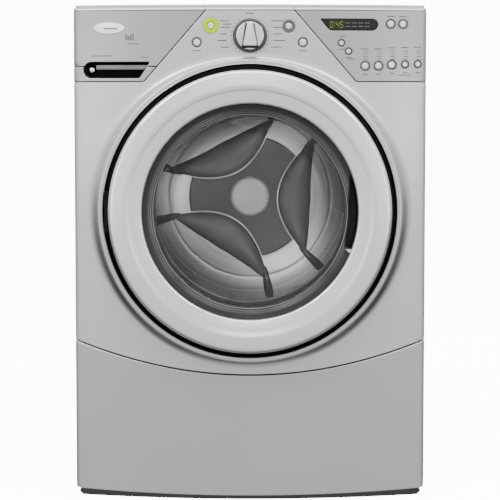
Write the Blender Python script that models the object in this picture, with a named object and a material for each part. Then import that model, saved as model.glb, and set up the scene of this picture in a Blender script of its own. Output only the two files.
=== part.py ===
"""Front load washing machine, 686 wide x 965 high x 790 mm deep, as separate fitted pieces.

Frame: metres, X to the right, the front faces -Y, Z up. The origin is on the floor, under the
middle of the machine. Every piece is one closed solid with its own name and material.
"""
import math

import bmesh
import bpy
from mathutils import Matrix, Vector

# ---- whole machine ----
HALF_W = 0.343              # half of the 686 mm width
TOP_Z = 0.965
REAR_Y = 0.395              # rearmost point, the ends of the water inlets
SHEET = 0.002               # folded steel sheet
SKIN = 0.003                # moulded front skins
CLEAR = 0.0003              # air between pieces that touch
SEAM = 0.0005               # half of a visible seam between front skins

# ---- bowed front ----
EDGE_Y = -0.310             # front surface at the side edges
BULGE = 0.045               # how far the middle stands in front of the edges
CORNER = 0.008              # radius of the upright front corners
RETURN_Y = -0.2985          # rear end of the skins' side returns
PANEL_TOP_Z = 0.9535
TOE_SIDE_Z = 0.0175         # lower edge of the toe panel at the sides
TOE_MID_Z = 0.0075          # the same edge in the middle
TOE_SEAM = 0.0012           # half of the wider seam above the toe panel
SEAM_SIDE_Z = 0.313         # arched seam above the toe panel, at the sides
SEAM_MID_Z = 0.2485         # the same seam in the middle
TOE_LEAN = 0.045            # the bow flattens this much for each metre down the toe panel

# ---- console ----
CONSOLE_Z = 0.8165          # level seam under the console
SLANT_TOP_X = 0.0864        # slanted seam, at SLANT_TOP_Z
SLANT_TOP_Z = 0.962
SLANT = 0.864               # sideways run of the slanted seam for each metre down
DRAWER_Z = 0.846            # seam under the drawer front

# ---- door, drum and tub share one centre line ----
DOOR_Z = 0.567
HINGE_X = -0.2760            # in the gap between the door and its surround
HINGE_Y = -0.368
PAN_Y = -0.3245             # floor of the dish that the door closes into
RIM_FRONT_Y = -0.3625

# ---- fine and coarse roundness ----
ROUND_BIG = 48
ROUND_MID = 32
ROUND_TUB = 40
ROUND_SMALL = 20
ROUND_BUTTON = 12

# name: (x, z, cap radius)
BUTTONS = {
    "start_button": (-0.0754, 0.9240, 0.0085),
    "drum_light_button": (-0.1023, 0.8920, 0.0085),
    "pause_button": (0.0745, 0.9230, 0.0085),
    "power_button": (0.1016, 0.8920, 0.0085),
    "delay_up_button": (0.2720, 0.9275, 0.0085),
    "delay_down_button": (0.2960, 0.9275, 0.0085),
    "signal_button": (0.1760, 0.8910, 0.0062),
    "lock_button": (0.1900, 0.8750, 0.0062),
    "temperature_button": (0.2223, 0.8470, 0.0085),
    "spin_button": (0.2483, 0.8470, 0.0085),
    "soil_button": (0.2743, 0.8490, 0.0085),
    "rinse_button": (0.3004, 0.8500, 0.0068),
    "prewash_button": (0.3256, 0.8505, 0.0068),
}
BUTTON_PROUD = 0.002
BUTTON_GAP = 0.0006

# name: (base colour, roughness, metallic)
FINISHES = {
    "silver_paint": ((0.60, 0.60, 0.61), 0.35, 0.55),
    "toe_paint": ((0.42, 0.42, 0.43), 0.42, 0.45),
    "side_paint": ((0.50, 0.50, 0.51), 0.40, 0.45),
    "bright_ring": ((0.72, 0.72, 0.73), 0.22, 0.85),
    "dark_plastic": ((0.045, 0.045, 0.05), 0.45, 0.0),
    "grey_plastic": ((0.30, 0.30, 0.31), 0.50, 0.0),
    "pale_plastic": ((0.66, 0.66, 0.64), 0.50, 0.0),
    "button_plastic": ((0.62, 0.62, 0.63), 0.35, 0.20),
    "start_plastic": ((0.68, 0.76, 0.28), 0.35, 0.0),
    "display_black": ((0.012, 0.014, 0.013), 0.08, 0.0),
    "door_glass": ((0.10, 0.105, 0.11), 0.04, 0.0),
    "rubber": ((0.16, 0.16, 0.165), 0.70, 0.0),
    "stainless": ((0.62, 0.62, 0.63), 0.28, 1.0),
    "galvanised": ((0.52, 0.53, 0.54), 0.45, 0.9),
    "cast_alloy": ((0.48, 0.48, 0.49), 0.55, 0.9),
    "concrete": ((0.40, 0.39, 0.37), 0.90, 0.0),
    "motor_steel": ((0.30, 0.31, 0.32), 0.45, 0.85),
    "circuit_green": ((0.04, 0.16, 0.08), 0.55, 0.0),
    "brass": ((0.62, 0.48, 0.20), 0.35, 1.0),
}


# ---------------------------------------------------------------- shape tools
def clear_scene():
    """Remove whatever the file holds."""
    for obj in list(bpy.data.objects):
        bpy.data.objects.remove(obj, do_unlink=True)


def material(name):
    """One Principled material for each finish."""
    if name in bpy.data.materials:
        return bpy.data.materials[name]
    colour, roughness, metallic = FINISHES[name]
    mat = bpy.data.materials.new(name)
    mat.use_nodes = True
    shader = mat.node_tree.nodes["Principled BSDF"]
    shader.inputs["Base Color"].default_value = (*colour, 1.0)
    shader.inputs["Roughness"].default_value = roughness
    shader.inputs["Metallic"].default_value = metallic
    mat.diffuse_color = (*colour, 1.0)
    return mat


def prism(points, axis, low, high):
    """A flat outline drawn out along one axis. The outline is (x, y), (x, z) or (y, z)."""
    place = {
        "Z": lambda a, b, c: (a, b, c),
        "Y": lambda a, b, c: (a, c, b),
        "X": lambda a, b, c: (c, a, b),
    }[axis]
    bm = bmesh.new()
    face = bm.faces.new([bm.verts.new(place(a, b, low)) for a, b in points])
    drawn = bmesh.ops.extrude_face_region(bm, geom=[face])
    moved = [item for item in drawn["geom"] if isinstance(item, bmesh.types.BMVert)]
    bmesh.ops.translate(bm, verts=moved, vec=Vector(place(0.0, 0.0, high - low)))
    bmesh.ops.recalc_face_normals(bm, faces=bm.faces[:])
    return bm


def block(x, y, z):
    """A box from three (low, high) pairs."""
    outline = [(x[0], z[0]), (x[1], z[0]), (x[1], z[1]), (x[0], z[1])]
    return prism(outline, "Y", y[0], y[1])


def lathe(profile, axis="Y", centre=(0.0, DOOR_Z), steps=ROUND_BIG):
    """Turn a (radius, position) outline about an axis. centre is the axis's other two numbers."""
    bm = bmesh.new()
    if axis == "Y":
        spots = [(centre[0] + r, t, centre[1]) for r, t in profile]
        pivot, direction = (centre[0], 0.0, centre[1]), (0.0, 1.0, 0.0)
    else:
        spots = [(centre[0] + r, centre[1], t) for r, t in profile]
        pivot, direction = (centre[0], centre[1], 0.0), (0.0, 0.0, 1.0)
    verts = [bm.verts.new(spot) for spot in spots]
    edges = [bm.edges.new(pair) for pair in zip(verts, verts[1:])]
    if profile[0][0] > 0.0:
        edges.append(bm.edges.new((verts[-1], verts[0])))
    bmesh.ops.spin(bm, geom=verts + edges, cent=pivot, axis=direction, angle=2.0 * math.pi,
                   steps=steps, use_merge=True)
    bmesh.ops.remove_doubles(bm, verts=bm.verts[:], dist=1e-6)
    bmesh.ops.recalc_face_normals(bm, faces=bm.faces[:])
    return bm


def rod(radius, low, high, axis="Y", centre=(0.0, DOOR_Z), steps=ROUND_SMALL):
    """A plain round bar."""
    return lathe([(0.0, low), (radius, low), (radius, high), (0.0, high)], axis, centre, steps)


def pipe(inner, outer, low, high, axis="Y", centre=(0.0, DOOR_Z), steps=ROUND_SMALL):
    """A round bar with a hole through it."""
    profile = [(inner, low), (outer, low), (outer, high), (inner, high)]
    return lathe(profile, axis, centre, steps)


def sector(inner, outer, half_angle, low, high, middle=0.0, steps=12):
    """Part of a ring round the door's centre line, angles in degrees from +X."""
    angles = [math.radians(middle + half_angle * (2.0 * i / steps - 1.0)) for i in range(steps + 1)]
    far = [(outer * math.cos(a), DOOR_Z + outer * math.sin(a)) for a in angles]
    near = [(inner * math.cos(a), DOOR_Z + inner * math.sin(a)) for a in reversed(angles)]
    return prism(far + near, "Y", low, high)


def together(*parts):
    """Several separate solids in one mesh."""
    joined = bmesh.new()
    for part in parts:
        mesh = bpy.data.meshes.new("shape")
        part.to_mesh(mesh)
        part.free()
        joined.from_mesh(mesh)
        bpy.data.meshes.remove(mesh)
    return joined


def piece(name, bm, finish, origin=(0.0, 0.0, 0.0)):
    """Make the named object, with its origin on its own axis of movement."""
    bmesh.ops.translate(bm, verts=bm.verts[:], vec=-Vector(origin))
    mesh = bpy.data.meshes.new(name)
    bm.to_mesh(mesh)
    bm.free()
    mesh.shade_smooth()
    mesh.set_sharp_from_angle(angle=math.radians(32.0))
    mesh.materials.append(material(finish))
    obj = bpy.data.objects.new(name, mesh)
    obj.location = origin
    bpy.context.scene.collection.objects.link(obj)
    return obj


def shape_with(obj, operation, *parts):
    """Add to, cut from or trim a piece with helper solids."""
    for part in parts:
        tool = piece(f"{obj.name}_{operation.lower()}_{len(obj.modifiers)}", part, "grey_plastic")
        tool.hide_render = True
        tool.display_type = "WIRE"
        step = obj.modifiers.new(operation.title(), "BOOLEAN")
        step.operation = operation
        step.solver = "EXACT"
        step.object = tool


def fuse(obj, *parts):
    shape_with(obj, "UNION", *parts)


def cut(obj, *parts):
    shape_with(obj, "DIFFERENCE", *parts)


def trim(obj, *parts):
    shape_with(obj, "INTERSECT", *parts)


# ---------------------------------------------------------------- the bowed front
def front_y(x):
    """Where the front surface is at x, with its rounded upright corners."""
    y = EDGE_Y - BULGE * (1.0 - (x / HALF_W) ** 2)
    past = (abs(x) - (HALF_W - CORNER)) / CORNER
    if past > 0.0:
        y += CORNER * (1.0 - math.sqrt(max(0.0, 1.0 - past * past)))
    return y


def front_slope(x):
    """How fast the front surface falls back with x."""
    return 2.0 * BULGE * x / HALF_W ** 2


def front_stations():
    """Places across the front, closer together round the corners."""
    flat = HALF_W - CORNER
    inner = [flat * i / 12.0 for i in range(-12, 13)]
    rounding = [flat + CORNER * t for t in (0.5, 0.8, 0.95, 1.0)]
    return [-x for x in reversed(rounding)] + inner + rounding


def inward(x):
    """The inner side of a skin: the same x on the bow, one wall thickness in round the corners."""
    if abs(x) <= HALF_W - CORNER + 1e-6:
        return x
    return x * (HALF_W - SKIN) / HALF_W


def skin_plan():
    """Plan view of a full-width front skin with its two side returns."""
    outer = [(x, front_y(x)) for x in front_stations()]
    inner = [(inward(x), y + SKIN) for x, y in reversed(outer)]
    right_end = [(HALF_W, RETURN_Y), (HALF_W - SKIN, RETURN_Y)]
    left_end = [(-HALF_W + SKIN, RETURN_Y), (-HALF_W, RETURN_Y)]
    return outer + right_end + inner + left_end


def layer_plan(x_low, x_high, front, back, count=8):
    """Plan view of a strip that follows the front surface, from front to back behind it."""
    places = [x_low + (x_high - x_low) * i / count for i in range(count + 1)]
    near = [(x, front_y(x) + front) for x in places]
    far = [(x, front_y(x) + back) for x in reversed(places)]
    return near + far


def front_skin(name, outline, low, high, finish):
    """A front skin trimmed to an outline seen from the front."""
    obj = piece(name, prism(skin_plan(), "Z", low, high), finish)
    trim(obj, prism(outline, "Y", -0.45, -0.20))
    return obj


def slant_x(z, gap=0.0):
    """The slanted console seam's x at height z, moved away from the middle by gap."""
    return SLANT_TOP_X + (SLANT_TOP_Z - z) * SLANT + gap * math.hypot(1.0, SLANT)


def arch_z(x):
    """Height of the arched seam above the toe panel."""
    return SEAM_MID_Z + (SEAM_SIDE_Z - SEAM_MID_Z) * (x / HALF_W) ** 2


# ---------------------------------------------------------------- cabinet
def build_cabinet():
    x, rear, front, lip = HALF_W, 0.382, -0.298, 0.016
    outer = [(-x + lip, front), (-x, front), (-x, rear), (x, rear), (x, front), (x - lip, front)]
    inner = [(x - lip, front + SHEET), (x - SHEET, front + SHEET), (x - SHEET, rear - SHEET),
             (-x + SHEET, rear - SHEET), (-x + SHEET, front + SHEET), (-x + lip, front + SHEET)]
    wrap = piece("cabinet_wrap", prism(outer + inner, "Z", TOE_SIDE_Z, PANEL_TOP_Z), "side_paint")
    hangers = [block(sorted((side * 0.245, side * 0.342)), (0.020, 0.050), (0.9268, 0.9298))
               for side in (-1, 1)]
    fuse(wrap, together(*hangers))
    drain_spigot = pipe(0.011, 0.014, 0.3808, 0.3945, centre=(0.255, 0.860))
    cord_gland = pipe(0.005, 0.011, 0.3808, 0.3900, centre=(0.285, 0.912), steps=ROUND_BUTTON)
    fuse(wrap, together(drain_spigot, cord_gland))
    window = block((-0.240, 0.240), (0.370, 0.390), (0.120, 0.820))
    inlets = [rod(0.0145, 0.370, 0.390, centre=(place, 0.910)) for place in (-0.255, -0.205)]
    bores = [rod(0.011, 0.370, 0.400, centre=(0.255, 0.860)),
             rod(0.005, 0.370, 0.400, centre=(0.285, 0.912), steps=ROUND_BUTTON)]
    cut(wrap, together(window, *inlets, *bores))


def build_rear_access_panel():
    panel = piece("rear_access_panel", block((-0.255, 0.255), (0.3823, 0.3845), (0.105, 0.835)),
                  "galvanised")
    raised = [(0.0, 0.3835), (0.190, 0.3835), (0.180, 0.3920), (0.0, 0.3920)]
    fuse(panel, lathe(raised, steps=ROUND_MID))
    hollow = [(0.0, 0.3810), (0.188, 0.3810), (0.178, 0.3900), (0.0, 0.3900)]
    cut(panel, lathe(hollow, steps=ROUND_MID))


def build_top_panel():
    low = PANEL_TOP_Z + SEAM
    overhang = 0.0015
    front = [(x, front_y(x) - overhang) for x in front_stations()]
    rear = 0.386
    outline = front + [(HALF_W, rear), (-HALF_W, rear)]
    top = piece("top_panel", prism(outline, "Z", low, TOP_Z), "side_paint")
    edge = top.modifiers.new("Bevel", "BEVEL")
    edge.width = 0.0025
    edge.segments = 2
    edge.limit_method = "ANGLE"
    edge.angle_limit = math.radians(60.0)
    wall = 0.012
    shrink = (HALF_W - wall) / HALF_W
    inside = [(px * shrink, py + wall) for px, py in front]
    inside += [(HALF_W - wall, rear - wall), (-HALF_W + wall, rear - wall)]
    cut(top, prism(inside, "Z", low - 0.005, TOP_Z - 0.0025))


def build_base_frame():
    frame = piece("base_frame", block((-0.3405, 0.3405), (-0.283, 0.3795), (0.0185, 0.050)),
                  "galvanised")
    cut(frame, block((-0.3105, 0.3105), (-0.253, 0.3495), (0.0215, 0.060)))
    channels = [block((-0.285, 0.285), (-0.280, -0.256), (0.0215, 0.060)),
                block((-0.285, 0.285), (0.3525, 0.3765), (0.0215, 0.060))]
    for side in (-1, 1):
        channels.append(block(sorted((side * 0.3135, side * 0.3375)), (-0.229, 0.325),
                              (0.0215, 0.060)))
    cut(frame, together(*channels))
    holes = [rod(0.0066, 0.010, 0.060, "Z", spot) for spot in foot_spots().values()]
    cut(frame, together(*holes))


def foot_spots():
    """Where the four feet stand."""
    return {
        "levelling_foot_front_left": (-0.318, -0.262),
        "levelling_foot_front_right": (0.318, -0.262),
        "levelling_foot_rear_left": (-0.318, 0.358),
        "levelling_foot_rear_right": (0.318, 0.358),
    }


def build_feet():
    """A rubber-shod disc, a lock nut and a stem that screws up into the base."""
    outline = [(0.0, 0.0), (0.020, 0.0), (0.022, 0.002), (0.022, 0.007), (0.012, 0.0095),
               (0.012, 0.0165), (0.006, 0.0165), (0.006, 0.048), (0.0, 0.048)]
    for name, spot in foot_spots().items():
        piece(name, lathe(outline, "Z", spot, ROUND_BUTTON), "rubber", (*spot, 0.0))


# ---------------------------------------------------------------- front skins
def door_flank(offset):
    """The cone of the raised door surround, moved outward by offset."""
    lean = (0.3095 - 0.2940) / (0.3600 - 0.3000)
    return [(0.2940 + offset - lean * 0.045, -0.4050), (0.2940 + offset + lean * 0.080, -0.2800)]


def build_front_panel():
    """Front skin with the raised door surround and the dish behind the door in one piece."""
    places = front_stations()
    arch = [(x * 1.02, arch_z(x) + TOE_SEAM) for x in places]
    level = CONSOLE_Z - SEAM
    wide = HALF_W * 1.02
    outline = arch + [(wide, level), (slant_x(level, -SEAM), level),
                      (slant_x(0.970, -SEAM), 0.970), (-slant_x(0.970, -SEAM), 0.970),
                      (-slant_x(level, -SEAM), level), (-wide, level)]
    panel = front_skin("front_panel", outline, 0.20, PANEL_TOP_Z, "silver_paint")
    (r_front, y_front), (r_back, y_back) = door_flank(-0.0016)
    cut(panel, lathe([(0.0, y_front), (r_front, y_front), (r_back, y_back), (0.0, y_back)]))
    surround = [
        (0.2130, PAN_Y), (0.2795, PAN_Y), (0.2835, -0.3290), (0.2835, -0.3610),
        (0.2850, RIM_FRONT_Y), (0.2915, RIM_FRONT_Y), (0.2940, -0.3600), (0.3095, -0.3000),
        (0.3063, -0.3000), (0.2912, -0.3590), (0.2865, -0.3590), (0.2865, -0.3270),
        (0.2815, -0.3215), (0.2130, -0.3215)]
    fuse(panel, lathe(surround))
    holes = [button_hole(name) for name in list(BUTTONS)[:4]]
    holes.append(rod(0.0048, -0.40, -0.30, centre=(0.0, KNOB_Z)))
    strike_slot = block((0.2400, 0.2630), (-0.340, -0.310), (DOOR_Z - 0.011, DOOR_Z + 0.011))
    arm_slots = [block((HINGE_X - 0.0040, HINGE_X + 0.0040), (-0.340, -0.310),
                       sorted((DOOR_Z + side * 0.0285, DOOR_Z + side * 0.0415)))
                 for side in (-1, 1)]
    cut(panel, together(strike_slot, *arm_slots, *holes))


def build_toe_panel():
    places = front_stations()
    bm = prism(skin_plan(), "Z", TOE_MID_Z - 0.002, 0.330)
    lean_back(bm)
    panel = piece("toe_panel", bm, "toe_paint")
    arch = [(x * 1.02, arch_z(x) - TOE_SEAM) for x in reversed(places)]
    foot = [(x, TOE_MID_Z + (TOE_SIDE_Z - TOE_MID_Z) * (x / HALF_W) ** 2) for x in places[1:-1]]
    corner = 0.012
    left = [(-0.36, TOE_SIDE_Z + corner), (-HALF_W, TOE_SIDE_Z + corner),
            (-HALF_W + 0.3 * corner, TOE_SIDE_Z + 0.3 * corner)]
    right = [(-x, z) for x, z in reversed(left)]
    inside = HALF_W - corner
    outline = left + [spot for spot in foot if abs(spot[0]) < inside] + right + arch
    trim(panel, prism(outline, "Y", -0.45, -0.20))


def lean_back(bm):
    """Flatten the bow toward the floor, and leave the side returns where they are."""
    for vert in bm.verts:
        share = 1.0 - (vert.co.x / HALF_W) ** 2
        if vert.co.y < RETURN_Y - 0.0001:
            vert.co.y += TOE_LEAN * (SEAM_SIDE_Z - vert.co.z) * share


def recess_outline(grow):
    """The finger recess below the drawer: round at the left, slanted at the right."""
    left, bottom, top, right = -0.325 - grow, 0.824 - grow, 0.855 + grow, -0.198 + grow
    radius = 0.5 * (top - bottom)
    middle = (left + radius, bottom + radius)
    turn = [math.radians(90.0 + 180.0 * i / 8.0) for i in range(9)]
    rounded = [(middle[0] + radius * math.cos(a), middle[1] + radius * math.sin(a)) for a in turn]
    return rounded + [(right - 0.0205 - grow, bottom), (right, top)]


def build_drawer_surround():
    """The fixed strip of the console under the drawer front."""
    level, split = CONSOLE_Z + SEAM, DRAWER_Z - SEAM
    outline = [(-0.36, level), (-slant_x(level, SEAM), level), (-slant_x(split, SEAM), split),
               (-0.36, split)]
    strip = front_skin("drawer_surround", outline, 0.80, 0.86, "silver_paint")
    cut(strip, prism(recess_outline(0.0006), "Y", -0.45, -0.20))


def build_drawer_front():
    """Drawer front with the finger cup behind its lower edge and the pull bar inside it."""
    split = DRAWER_Z + SEAM
    outline = [(-0.36, split), (-slant_x(split, SEAM), split), (-slant_x(0.970, SEAM), 0.970),
               (-0.36, 0.970)]
    front = front_skin("drawer_front", outline, 0.83, PANEL_TOP_Z, "silver_paint")
    cup = piece_layer(recess_outline(-0.0002), -0.330, -0.192, 0.0012, 0.0265)
    fuse(front, cup)
    cut(front, piece_layer(recess_outline(-0.0017), -0.330, -0.192, -0.010, 0.0245))
    ribs = [prism(rib_plan(x), "Z", 0.8620, 0.9220) for x in (-0.300, -0.192)]
    fuse(front, together(*ribs))
    bar = [(-0.299, 0.8375), (-0.2075, 0.8375), (-0.2075, 0.8465), (-0.299, 0.8465)]
    fuse(front, piece_layer(bar, -0.330, -0.192, 0.006, 0.0255))


def piece_layer(outline, x_low, x_high, front, back):
    """A solid with this outline seen from the front, between two depths behind the surface."""
    places = [x_low + (x_high - x_low) * i / 8.0 for i in range(9)]
    bm = prism(outline, "Y", front, back)
    for near, far in zip(places[1:-1], places[2:]):
        slice_mesh(bm, near)
    for vert in bm.verts:
        vert.co.y += front_y(vert.co.x)
    return bm


def slice_mesh(bm, x):
    """Add a row of edges across a solid at x, so that it can follow the bowed surface."""
    bmesh.ops.bisect_plane(bm, geom=bm.verts[:] + bm.edges[:] + bm.faces[:], dist=1e-7,
                           plane_co=(x, 0.0, 0.0), plane_no=(1.0, 0.0, 0.0))


def rib_plan(x):
    """A rib from the drawer front's back to the tray."""
    width = 0.004
    inner = 0.0015
    return [(x, front_y(x) + inner), (x + width, front_y(x + width) + inner),
            (x + width, -0.2937), (x, -0.2937)]


def build_control_panel():
    level = CONSOLE_Z + SEAM
    outline = [(slant_x(level, SEAM), level), (0.36, level), (0.36, 0.970),
               (slant_x(0.970, SEAM), 0.970)]
    panel = front_skin("control_panel", outline, 0.80, PANEL_TOP_Z, "silver_paint")
    window = prism(display_outline(0.0), "Y", -0.45, -0.20)
    holes = [button_hole(name) for name in list(BUTTONS)[4:]]
    cut(panel, together(window, *holes))


def display_outline(grow):
    """Display window: slanted at the left, round at the right."""
    low, high, right = 0.9145 - grow, 0.9375 + grow, 0.2475 + grow
    radius = 0.5 * (high - low)
    turn = [math.radians(-90.0 + 180.0 * i / 8.0) for i in range(9)]
    end = [(right - radius + radius * math.cos(a), low + radius + radius * math.sin(a))
           for a in turn]
    return end + [(0.134 - grow, high), (0.153 - grow, low)]


def build_display_window():
    piece("display_window", piece_layer(display_outline(-CLEAR), 0.130, 0.250, 0.0004, 0.0026),
          "display_black")


# ---------------------------------------------------------------- knob and buttons
KNOB_Z = 0.905


def button_hole(name):
    x, z, radius = BUTTONS[name]
    return rod(radius + BUTTON_GAP, -0.40, -0.28, centre=(x, z), steps=ROUND_BUTTON)


def build_buttons():
    """Each button has a rounded cap, a neck in the skin and a collar that stops it falling out."""
    for name, (x, z, radius) in BUTTONS.items():
        collar = radius + 0.0014
        outline = [(0.0, -BUTTON_PROUD - 0.0004), (radius - 0.0016, -BUTTON_PROUD),
                   (radius, -BUTTON_PROUD + 0.0012), (radius, 0.0036), (collar, 0.0036),
                   (collar, 0.0052), (0.0, 0.0052)]
        bm = lathe(outline, "Y", (x, z), ROUND_BUTTON)
        slope = front_slope(x)
        for vert in bm.verts:
            vert.co.y += front_y(x) + slope * (vert.co.x - x)
        finish = "start_plastic" if name == "start_button" else "button_plastic"
        piece(name, bm, finish, (x, front_y(x), z))


def build_knob():
    """Dial with a tapered grip bar, on a shaft through the front panel."""
    face = front_y(0.0)
    outline = [(0.0, face - 0.0105), (0.0250, face - 0.0105), (0.0268, face - 0.0090),
               (0.0275, face - 0.0060), (0.0325, face - 0.0045), (0.0330, face - 0.0008),
               (0.0040, face - 0.0008), (0.0040, face + 0.0200), (0.0, face + 0.0200)]
    knob = piece("cycle_knob", lathe(outline, "Y", (0.0, KNOB_Z), 40), "bright_ring",
                 (0.0, face, KNOB_Z))
    top, foot = KNOB_Z + 0.0245, KNOB_Z - 0.0245
    bar = [(-0.0055, top), (-0.0135, foot), (0.0135, foot), (0.0055, top)]
    grip = prism(bar, "Y", face - 0.0260, face - 0.0095)
    for vert in grip.verts:
        if vert.co.y < face - 0.020:
            vert.co.x *= 0.72
            vert.co.z = KNOB_Z + (vert.co.z - KNOB_Z) * 0.90
    fuse(knob, grip)


# ---------------------------------------------------------------- door
def build_door_ring():
    """Outer ring: a broad band that falls off outward, a soft step, and a band round the glass."""
    outline = [
        (0.2074, -0.3744), (0.2078, -0.3868), (0.2120, -0.3896), (0.2230, -0.3913),
        (0.2338, -0.3929), (0.2370, -0.3949), (0.2420, -0.3950), (0.2530, -0.3938),
        (0.2640, -0.3922), (0.2695, -0.3901), (0.2720, -0.3860), (0.2730, -0.3780),
        (0.2730, -0.3530), (0.2600, -0.3530), (0.2600, -0.3612), (0.2100, -0.3612),
        (0.2100, -0.3744)]
    ring = piece("door_ring", lathe(outline), "bright_ring", (HINGE_X, HINGE_Y, DOOR_Z))
    cut(ring, block((-0.2850, -0.2575), (-0.3740, -0.340), (DOOR_Z - 0.050, DOOR_Z + 0.050)))


def build_door_inner_frame():
    """Inner moulding that clamps the glass, with the strike that enters the lock."""
    outline = [(0.1870, -0.3609), (0.2595, -0.3609), (0.2595, -0.3345), (0.2550, -0.3310),
               (0.1930, -0.3310), (0.1870, -0.3360)]
    frame = piece("door_inner_frame", lathe(outline), "grey_plastic", (HINGE_X, HINGE_Y, DOOR_Z))
    cut(frame, sector(0.1750, 0.2333, 21.3, -0.3700, -0.3347))
    half = 0.006
    fuse(frame, prism([(0.2480, -0.3325), (0.2560, -0.3325), (0.2560, -0.3000),
                       (0.2450, -0.3000), (0.2450, -0.3045), (0.2480, -0.3060)], "Z",
                      DOOR_Z - half, DOOR_Z + half))


def build_door_glass():
    """Glass bowl that reaches back into the mouth of the drum."""
    outline = [(0.0, -0.2180), (0.1100, -0.2220), (0.1440, -0.2360), (0.1810, -0.3620),
               (0.1870, -0.3668), (0.2088, -0.3690), (0.2088, -0.3612), (0.1855, -0.3612),
               (0.1482, -0.2330), (0.1125, -0.2175), (0.0, -0.2135)]
    glass = piece("door_glass", lathe(outline), "door_glass", (HINGE_X, HINGE_Y, DOOR_Z))
    cut(glass, sector(0.1890, 0.2200, 20.6, -0.3800, -0.3500))


def build_door_handle():
    """Finger pocket at the right of the glass: a cup that reaches behind the ring's inner edge."""
    origin = (HINGE_X, HINGE_Y, DOOR_Z)
    cup = piece("door_handle", sector(0.1880, 0.2330, 21.0, -0.3606, -0.3350), "dark_plastic",
                origin)
    fuse(cup, sector(0.1893, 0.2085, 20.3, -0.3690, -0.3590))
    cut(cup, sector(0.1900, 0.2310, 20.3, -0.3590, -0.3370))
    cut(cup, sector(0.1913, 0.2065, 19.7, -0.3750, -0.3580))


def build_hinge():
    """Cabinet half with two arms and the pin, and the door half that turns on the pin."""
    centre = (HINGE_X, HINGE_Y)
    knuckle, pin, bore = 0.0042, 0.0018, 0.0022
    bracket = piece("hinge_bracket", block((-0.2800, -0.2300), (-0.3212, -0.3160),
                                           (DOOR_Z - 0.065, DOOR_Z + 0.065)), "galvanised")
    for side in (-1, 1):
        low, high = sorted((DOOR_Z + side * 0.0300, DOOR_Z + side * 0.0400))
        fuse(bracket, block((HINGE_X - 0.0025, HINGE_X + 0.0025), (HINGE_Y, -0.3170),
                            (low, high)))
        fuse(bracket, rod(knuckle, low + 0.0004, high - 0.0004, "Z", centre))
    fuse(bracket, rod(pin, DOOR_Z - 0.0380, DOOR_Z + 0.0380, "Z", centre, ROUND_BUTTON))
    origin = (HINGE_X, HINGE_Y, DOOR_Z)
    half = 0.0290
    tall = (DOOR_Z - 0.0280, DOOR_Z + 0.0280)
    leaf = piece("hinge_arm", block((-0.2680, -0.2250), (-0.3306, -0.3267),
                                    (DOOR_Z - half, DOOR_Z + half)), "galvanised", origin)
    fuse(leaf, block((-0.2680, -0.2620), (HINGE_Y - 0.0025, -0.3280), tall))
    fuse(leaf, block((HINGE_X, -0.2640), (HINGE_Y - 0.0020, HINGE_Y + 0.0025),
                     (tall[0] + 0.0003, tall[1] - 0.0003)))
    fuse(leaf, rod(knuckle, DOOR_Z - 0.0285, DOOR_Z + 0.0285, "Z", centre))
    cut(leaf, rod(bore, DOOR_Z - 0.050, DOOR_Z + 0.050, "Z", centre, ROUND_BUTTON))


def build_door_lock():
    lock = piece("door_lock", block((0.2330, 0.2790), (-0.3212, -0.2850),
                                    (DOOR_Z - 0.035, DOOR_Z + 0.035)), "dark_plastic")
    cut(lock, block((0.2390, 0.2640), (-0.3300, -0.2930), (DOOR_Z - 0.012, DOOR_Z + 0.012)))


def build_bellows():
    """Rubber seal between the front panel and the tub, with one fold."""
    outline = [(0.2010, -0.3260), (0.2120, -0.3260), (0.2120, -0.2950), (0.2050, -0.2800),
               (0.2120, -0.2650), (0.2120, -0.2175), (0.2010, -0.2175), (0.2010, -0.2600),
               (0.1945, -0.2800), (0.2010, -0.3000)]
    piece("bellows", lathe(outline, steps=ROUND_MID), "rubber")


# ---------------------------------------------------------------- tub group
def lug_outline(x_low, x_high, z_end):
    """A lug on the outside of the tub, from inside its wall out to the level z_end."""
    reach = 0.288
    side = 1.0 if z_end > DOOR_Z else -1.0
    places = [x_high + (x_low - x_high) * i / 6.0 for i in range(7)]
    curve = [(x, DOOR_Z + side * math.sqrt(reach ** 2 - x ** 2)) for x in places]
    return [(x_low, z_end), (x_high, z_end)] + curve


def tub_lugs():
    """Two lugs for the springs above and two for the dampers below."""
    shapes = []
    for side in (-1, 1):
        low, high = sorted((side * 0.247, side * 0.277))
        shapes.append(prism(lug_outline(low, high, 0.7515), "Y", 0.020, 0.050))
        low, high = sorted((side * 0.200, side * 0.230))
        shapes.append(prism(lug_outline(low, high, 0.3300), "Y", 0.020, 0.050))
    return together(*shapes)


def build_tub():
    front = [(0.2015, -0.2165), (0.2800, -0.2165), (0.2900, -0.2065), (0.2900, -0.0100),
             (0.3000, -0.0060), (0.3000, -0.0002), (0.2860, -0.0002), (0.2860, -0.2040),
             (0.2785, -0.2125), (0.2015, -0.2125)]
    piece("tub_front", lathe(front, steps=ROUND_TUB), "pale_plastic")
    rear = [(0.2860, 0.0002), (0.3000, 0.0002), (0.3000, 0.0060), (0.2900, 0.0100),
            (0.2900, 0.2400), (0.2800, 0.2500), (0.0600, 0.2500), (0.0520, 0.2700),
            (0.0300, 0.2700), (0.0300, 0.2460), (0.2785, 0.2460), (0.2860, 0.2380)]
    shell = piece("tub_rear", lathe(rear, steps=ROUND_TUB), "pale_plastic")
    fuse(shell, tub_lugs())


def build_counterweight():
    """Cast block round the upper part of the tub's front."""
    piece("counterweight_front", sector(0.2235, 0.2840, 100.0, -0.2570, -0.2170, 90.0, 30),
          "concrete")


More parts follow.
